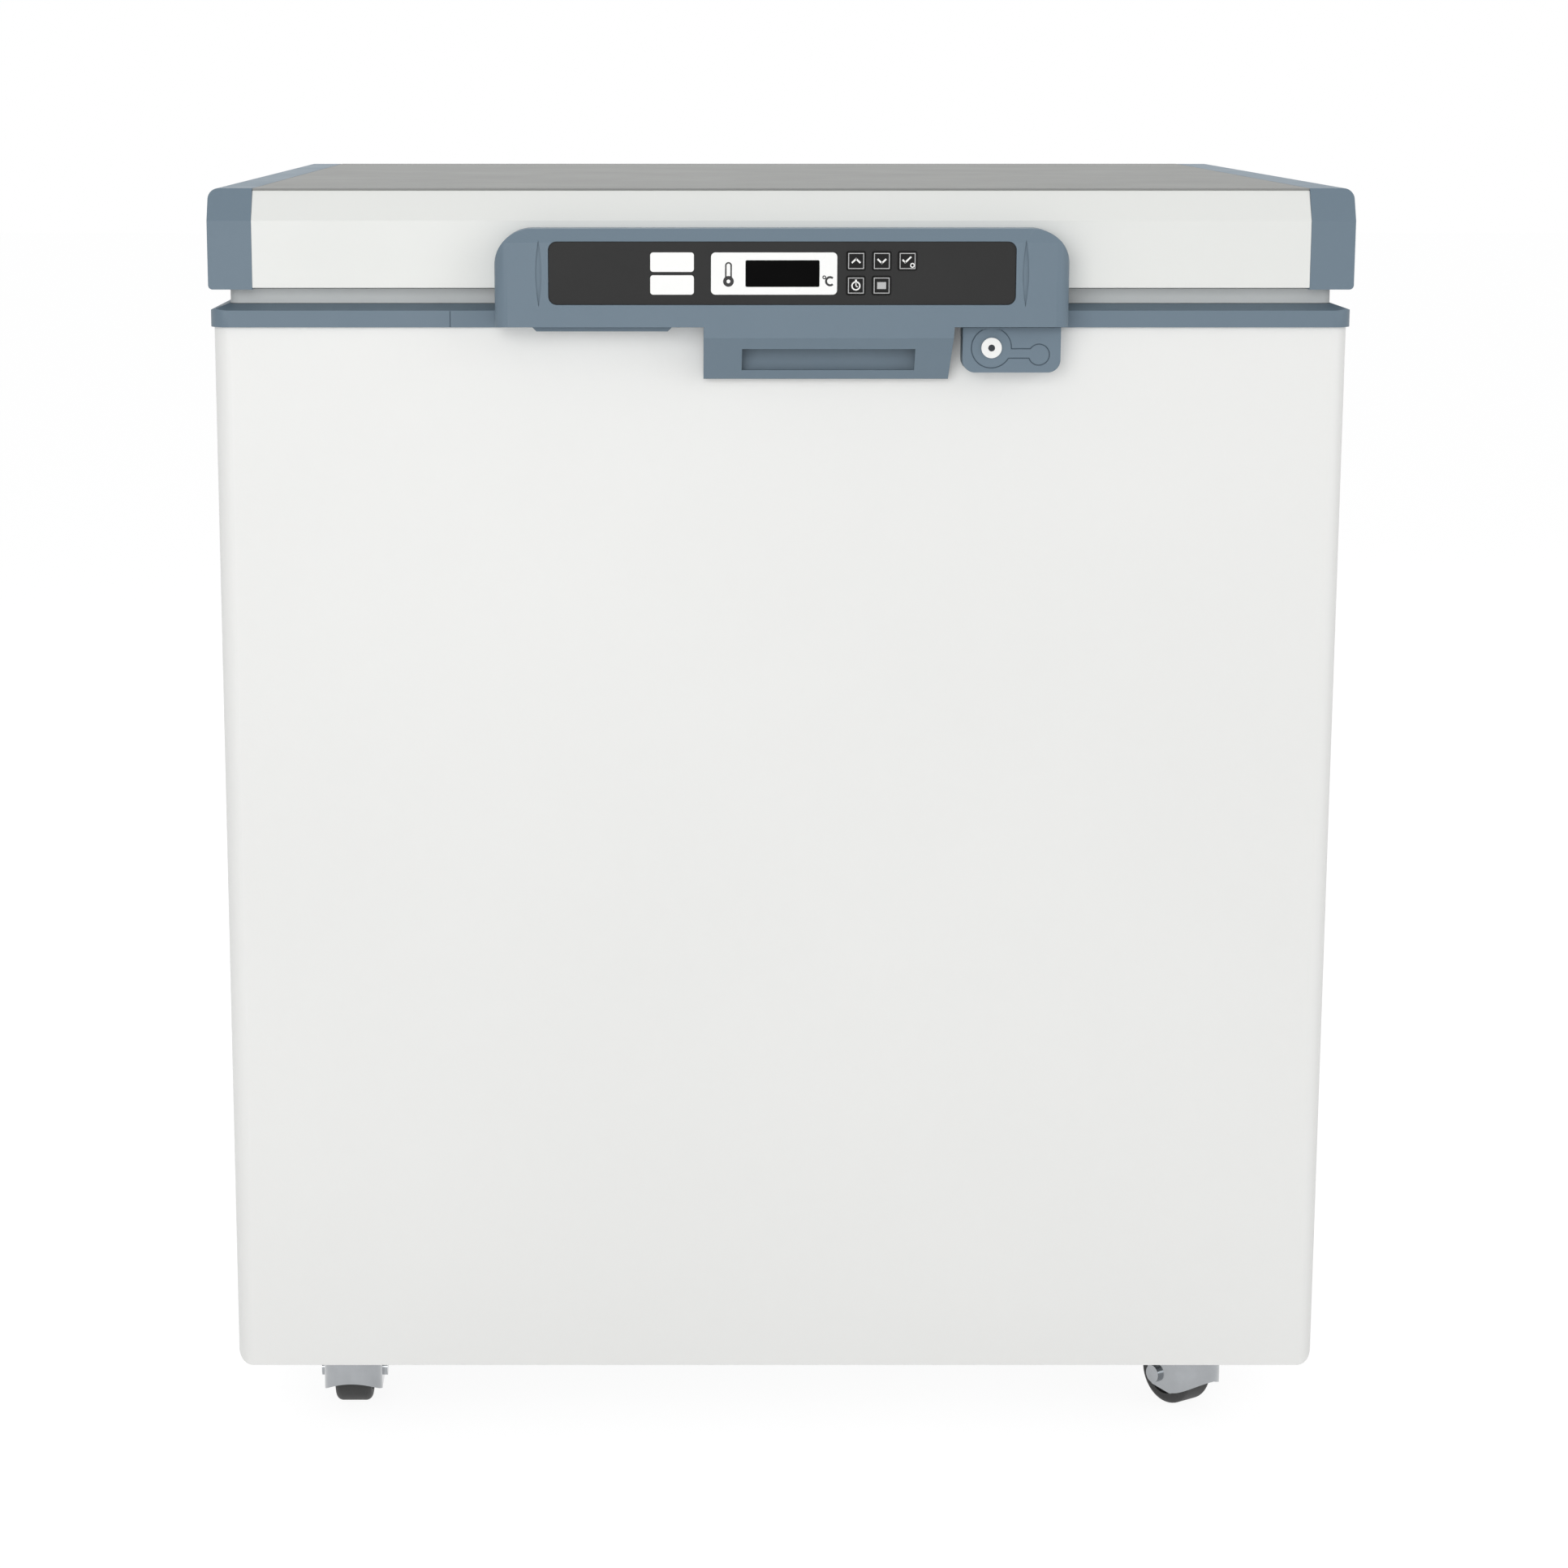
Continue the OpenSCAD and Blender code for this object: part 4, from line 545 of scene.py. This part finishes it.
# %% Rim seam
SEAM_X = -225.5 * MM
SEAM_HALF, SEAM_TOP, SEAM_BACK = 0.25 * MM, 11 * MM, 0.2 * MM
low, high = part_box("rim_frame")
left, right = SEAM_X - SEAM_HALF, SEAM_X + SEAM_HALF
bottom, top = low.z + SEAM_HALF, low.z + SEAM_TOP
# The seam is a thin dark plate of painted shade, set just inside the rim's front face.
plate("rim_seam", [[(left, bottom), (right, bottom), (right, top), (left, top)]],
      low.y + SEAM_BACK, "root", painted_line_shade)
print("rim seam at", SEAM_X)

# %% [markdown]
# ## The line round the lock
# The lock's face has a shallow groove: a large circle round the cylinder, a short neck and a small
# circle beside it. Its shade reads as a thin dark line, so a ribbon of painted shade lies in the
# groove.

# %% Lock line
INSET = 0.4 * MM
STEPS = 36
LINE_WIDTH, LINE_BACK, OPEN_TOP = 0.55 * MM, 0.3 * MM, 1.1 * MM
low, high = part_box("lock_housing")
big, small = 14.0 * MM - INSET, 7.5 * MM - INSET
lobe_x, lobe_z = high.x - 14.7 * MM, low.z + 12.1 * MM
neck_low, neck_high = low.z + 9.3 * MM + INSET, low.z + 16.5 * MM - INSET
turns = [(hole_x, hole_z, big, math.asin((neck_high - hole_z) / big),
          math.asin((neck_low - hole_z) / big) + math.tau),
         (lobe_x, lobe_z, small, math.pi - math.asin((neck_low - lobe_z) / small),
          3 * math.pi - math.asin((neck_high - lobe_z) / small))]
trace = []
for cx, cz, radius, start, stop in turns:
    for i in range(STEPS + 1):
        angle = start + (stop - start) * i / STEPS
        trace.append((cx + radius * math.cos(angle), cz + radius * math.sin(angle)))
ribbon = []
for a, b in zip(trace, trace[1:] + trace[:1]):
    apart = (Vector(b) - Vector(a)).length > 0.01 * MM
    if apart and max(a[1], b[1]) < high.z - OPEN_TOP:
        ribbon.append(stroke(*a, *b, LINE_WIDTH))
# The ribbon is painted shade: a dark strip standing in for the shade in the groove.
plate("lock_line", ribbon, low.y + LINE_BACK, "root", painted_line_shade)
print("lock line strokes:", len(ribbon))


# %% [markdown]
# ## Fasteners
# The back, the grilles, the hinges and the lid's dish are held by screws. One helper turns a head
# from its profile and lays on it a dark cross of painted shade where the slots are. Nearly every
# place is read from a CAD box, so the screws follow when a piece moves.

# %% Screw helper
def turned(form, profile, at, turn, sides=16):
    """Adds a closed surface of revolution from (radius, height) pairs; both ends have radius 0."""
    rows = []
    for radius, height in profile:
        spokes = [math.tau * i / sides for i in range(1 if radius == 0 else sides)]
        rows.append([form.verts.new(at + turn @ Vector((radius * math.cos(spoke),
                                                        radius * math.sin(spoke), height)))
                     for spoke in spokes])
    for low_row, high_row in zip(rows, rows[1:]):
        for i in range(sides):
            k = (i + 1) % sides
            if len(low_row) == 1:
                form.faces.new([low_row[0], high_row[i], high_row[k]])
            elif len(high_row) == 1:
                form.faces.new([low_row[i], low_row[k], high_row[0]])
            else:
                form.faces.new([low_row[i], low_row[k], high_row[k], high_row[i]])


HEAD_PROFILE = [(0, 0), (1, 0), (0.95, 0.45), (0.7, 0.85), (0.35, 0.98), (0, 0.98)]
SLOT_HALF_LENGTH, SLOT_HALF_WIDTH = 0.55, 0.11


def screws(name, places, outward, radius, height, body, material):
    """Screw heads that sit on the given places, as one piece, each with a cross of painted slot
    shade.
    """
    turn = Vector(outward).to_track_quat("Z", "Y").to_matrix()
    form = bmesh.new()
    for place in places:
        at = Vector(place)
        turned(form, [(radius * out, height * up) for out, up in HEAD_PROFILE], at, turn)
        for across in (0.0, math.pi / 2):
            long = Vector((math.cos(across), math.sin(across), 0)) * radius * SLOT_HALF_LENGTH
            wide = Vector((-math.sin(across), math.cos(across), 0)) * radius * SLOT_HALF_WIDTH
            lift = Vector((0, 0, height))
            slot = [form.verts.new(at + turn @ (long * a + wide * b + lift)) for a, b in
                    ((-1, -1), (1, -1), (1, 1), (-1, 1))]
            # The slot is a flat quad in the dark material: painted shade, not a cut.
            form.faces.new(slot).material_index = 1
    for face in put(name, form, [material, painted_slot_and_hole_shade], body).polygons:
        face.use_smooth = face.material_index == 0


RIGHT, BACK, DOWN = (1, 0, 0), (0, 1, 0), (0, 0, -1)

# %% Screws of the grilles and the back
EDGE, BACK_EDGE = 4 * MM, 9 * MM
low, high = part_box("side_grille")
screws("side_grille_screws", [(high.x, y, z) for y in (low.y + EDGE, high.y - EDGE)
                              for z in (low.z + EDGE, high.z - EDGE)],
       RIGHT, 2.4 * MM, 0.4 * MM, "root", white_paint)
low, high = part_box("rear_grille")
screws("rear_grille_screws", [(x, high.y, z) for x in (low.x + EDGE, high.x - EDGE)
                              for z in (low.z + EDGE, high.z - EDGE)],
       BACK, 2.4 * MM, 1.0 * MM, "root", white_paint)
back_low, back_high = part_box("back_panel")
side_x = back_high.x - BACK_EDGE
side_rows = [(x, back_high.y, z) for x in (-side_x, side_x) for z in (0.09, 0.42, 0.6, 0.77)]
low_row = [(x, back_high.y, back_low.z + BACK_EDGE) for x in (-0.24, -0.09, 0.06)]
screws("back_panel_screws", side_rows + low_row, BACK, 3.2 * MM, 1.4 * MM, "root", zinc)
print("back screws:", len(side_rows + low_row))

# %% Screws of the hinges
HINGE_PLATE = 4 * MM
HALF_HINGE = 29 * MM
hinge_low, hinge_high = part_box("hinge_brackets")
arm_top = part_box("hinge_arms")[1].z
hinge_mid = hinge_high.x - HALF_HINGE
bracket_face = back_high.y + HINGE_PLATE
arm_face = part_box("lid_rear_panel")[1].y + HINGE_PLATE
screws("hinge_bracket_screws",
       [(side * hinge_mid + dx, bracket_face, hinge_low.z + dz) for side in (-1, 1)
        for dx in (-14 * MM, 14 * MM) for dz in (10 * MM, 34 * MM)],
       BACK, 4.2 * MM, 2.2 * MM, "root", zinc)
screws("hinge_arm_screws",
       [(side * hinge_mid + dx, arm_face, arm_top - dz) for side in (-1, 1)
        for dx in (-13 * MM, 13 * MM) for dz in (8 * MM, 28 * MM)],
       BACK, 4.2 * MM, 2.2 * MM, "lid", zinc)
print("hinge middle at", round(hinge_mid, 4))

# %% Screws of the inlet, the control box and the dish
INLET_EDGE, BOX_EDGE = 3 * MM, 10 * MM
DISH_SIDE, DISH_END, DISH_ROW = 45 * MM, 24 * MM, 60 * MM
low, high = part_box("power_inlet")
screws("inlet_screws", [(x, high.y, (low.z + high.z) / 2)
                        for x in (low.x + INLET_EDGE, high.x - INLET_EDGE)],
       BACK, 1.8 * MM, 0.8 * MM, "root", zinc)
low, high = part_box("control_box")
screws("control_box_screws", [(high.x, y, z) for y in (low.y + BOX_EDGE, high.y - BOX_EDGE)
                              for z in (low.z + BOX_EDGE, high.z - BOX_EDGE)],
       RIGHT, 2.4 * MM, 1.2 * MM, "root", zinc)
low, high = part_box("lid_inner_dish")
flange_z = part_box("lid_gasket")[1].z
side_x = high.x - DISH_SIDE
dish_sides = [(x, y, flange_z) for x in (-side_x, side_x)
              for y in (low.y + DISH_ROW, 0.0, high.y - DISH_ROW)]
dish_ends = [(x, y, flange_z) for x in (-0.16, 0.16) for y in (low.y + DISH_END, high.y - DISH_END)]
screws("dish_screws", dish_sides + dish_ends, DOWN, 3.0 * MM, 1.3 * MM, "lid", zinc)
print("dish screws:", len(dish_sides + dish_ends))


# %% [markdown]
# ## Wiring in the machine compartment
# Thin leads run from the control box to the compressor's terminal box and to the fan motor, and
# the temperature probe has its own. Each is a round tube swept along a smooth line.

# %% Lead helper
def lead(name, points, radius, body, material, sides=8, steps=8):
    """A round tube along a smooth curve through the points, which are in metres."""
    points = [Vector(p) for p in points]
    ends = [2 * points[0] - points[1]] + points + [2 * points[-1] - points[-2]]
    line = []
    for a, b, c, d in zip(ends, ends[1:], ends[2:], ends[3:]):
        for i in range(steps):
            t = i / steps
            line.append(0.5 * (2 * b + (c - a) * t + (2 * a - 5 * b + 4 * c - d) * t * t
                               + (3 * b - a - 3 * c + d) * t * t * t))
    line.append(points[-1])
    form = bmesh.new()
    side = Vector((0.3, 0.2, 0.93)).normalized()
    rows = []
    for i, point in enumerate(line):
        ahead = (line[min(i + 1, len(line) - 1)] - line[max(i - 1, 0)]).normalized()
        side = (side - ahead * side.dot(ahead)).normalized()
        other = ahead.cross(side)
        rows.append([form.verts.new(point + radius * (side * math.cos(math.tau * k / sides)
                                                      + other * math.sin(math.tau * k / sides)))
                     for k in range(sides)])
    for a, b in zip(rows, rows[1:]):
        for k in range(sides):
            n = (k + 1) % sides
            form.faces.new([a[k], a[n], b[n], b[k]])
    form.faces.new(list(reversed(rows[0])))
    form.faces.new(rows[-1])
    for face in put(name, form, [material], body).polygons:
        face.use_smooth = len(face.vertices) == 4


# %% Leads
box_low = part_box("control_box")[0]
comp_low, comp_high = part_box("compressor")
middle_y = (comp_low.y + comp_high.y) / 2
lead("compressor_lead",
     [(box_low.x + 0.024, box_low.y + 0.014, box_low.z),
      (box_low.x + 0.024, box_low.y + 0.006, box_low.z - 0.02),
      (box_low.x + 0.026, box_low.y - 0.036, box_low.z - 0.04),
      (comp_low.x + 0.012, middle_y + 0.04, box_low.z - 0.038),
      (comp_low.x + 0.012, middle_y + 0.0235, box_low.z - 0.037)],
     3.2 * MM, "root", dark_rubber)
motor_low, motor_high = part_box("fan_motor")
motor_x, motor_z = (motor_low.x + motor_high.x) / 2, (motor_low.z + motor_high.z) / 2
lead("fan_lead",
     [(box_low.x + 0.009, box_low.y, 0.300), (box_low.x + 0.0065, box_low.y - 0.056, 0.305),
      (box_low.x + 0.0065, 0.10, 0.305), (box_low.x + 0.014, 0.045, 0.308),
      (motor_x - 0.057, 0.021, 0.28), (motor_x - 0.036, 0.013, 0.225),
      (motor_x - 0.017, motor_high.y + 0.0028, motor_z + 0.008)],
     2.2 * MM, "root", dark_rubber)
low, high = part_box("temperature_probe")
probe_x, probe_y = (low.x + high.x) / 2, low.y + 3 * MM
lead("probe_lead",
     [(probe_x, probe_y, high.z - 1 * MM), (probe_x, probe_y, high.z + 12 * MM),
      (probe_x, high.y - 4 * MM, high.z + 26 * MM), (probe_x, high.y + 0.5 * MM, high.z + 30 * MM)],
     1.6 * MM, "root", grey_plastic)
print("leads made: 3")

# %% [markdown]
# ## Finish
# Colours are shown with the Standard view transform.

# %% Finish
bpy.context.scene.view_settings.view_transform = "Standard"
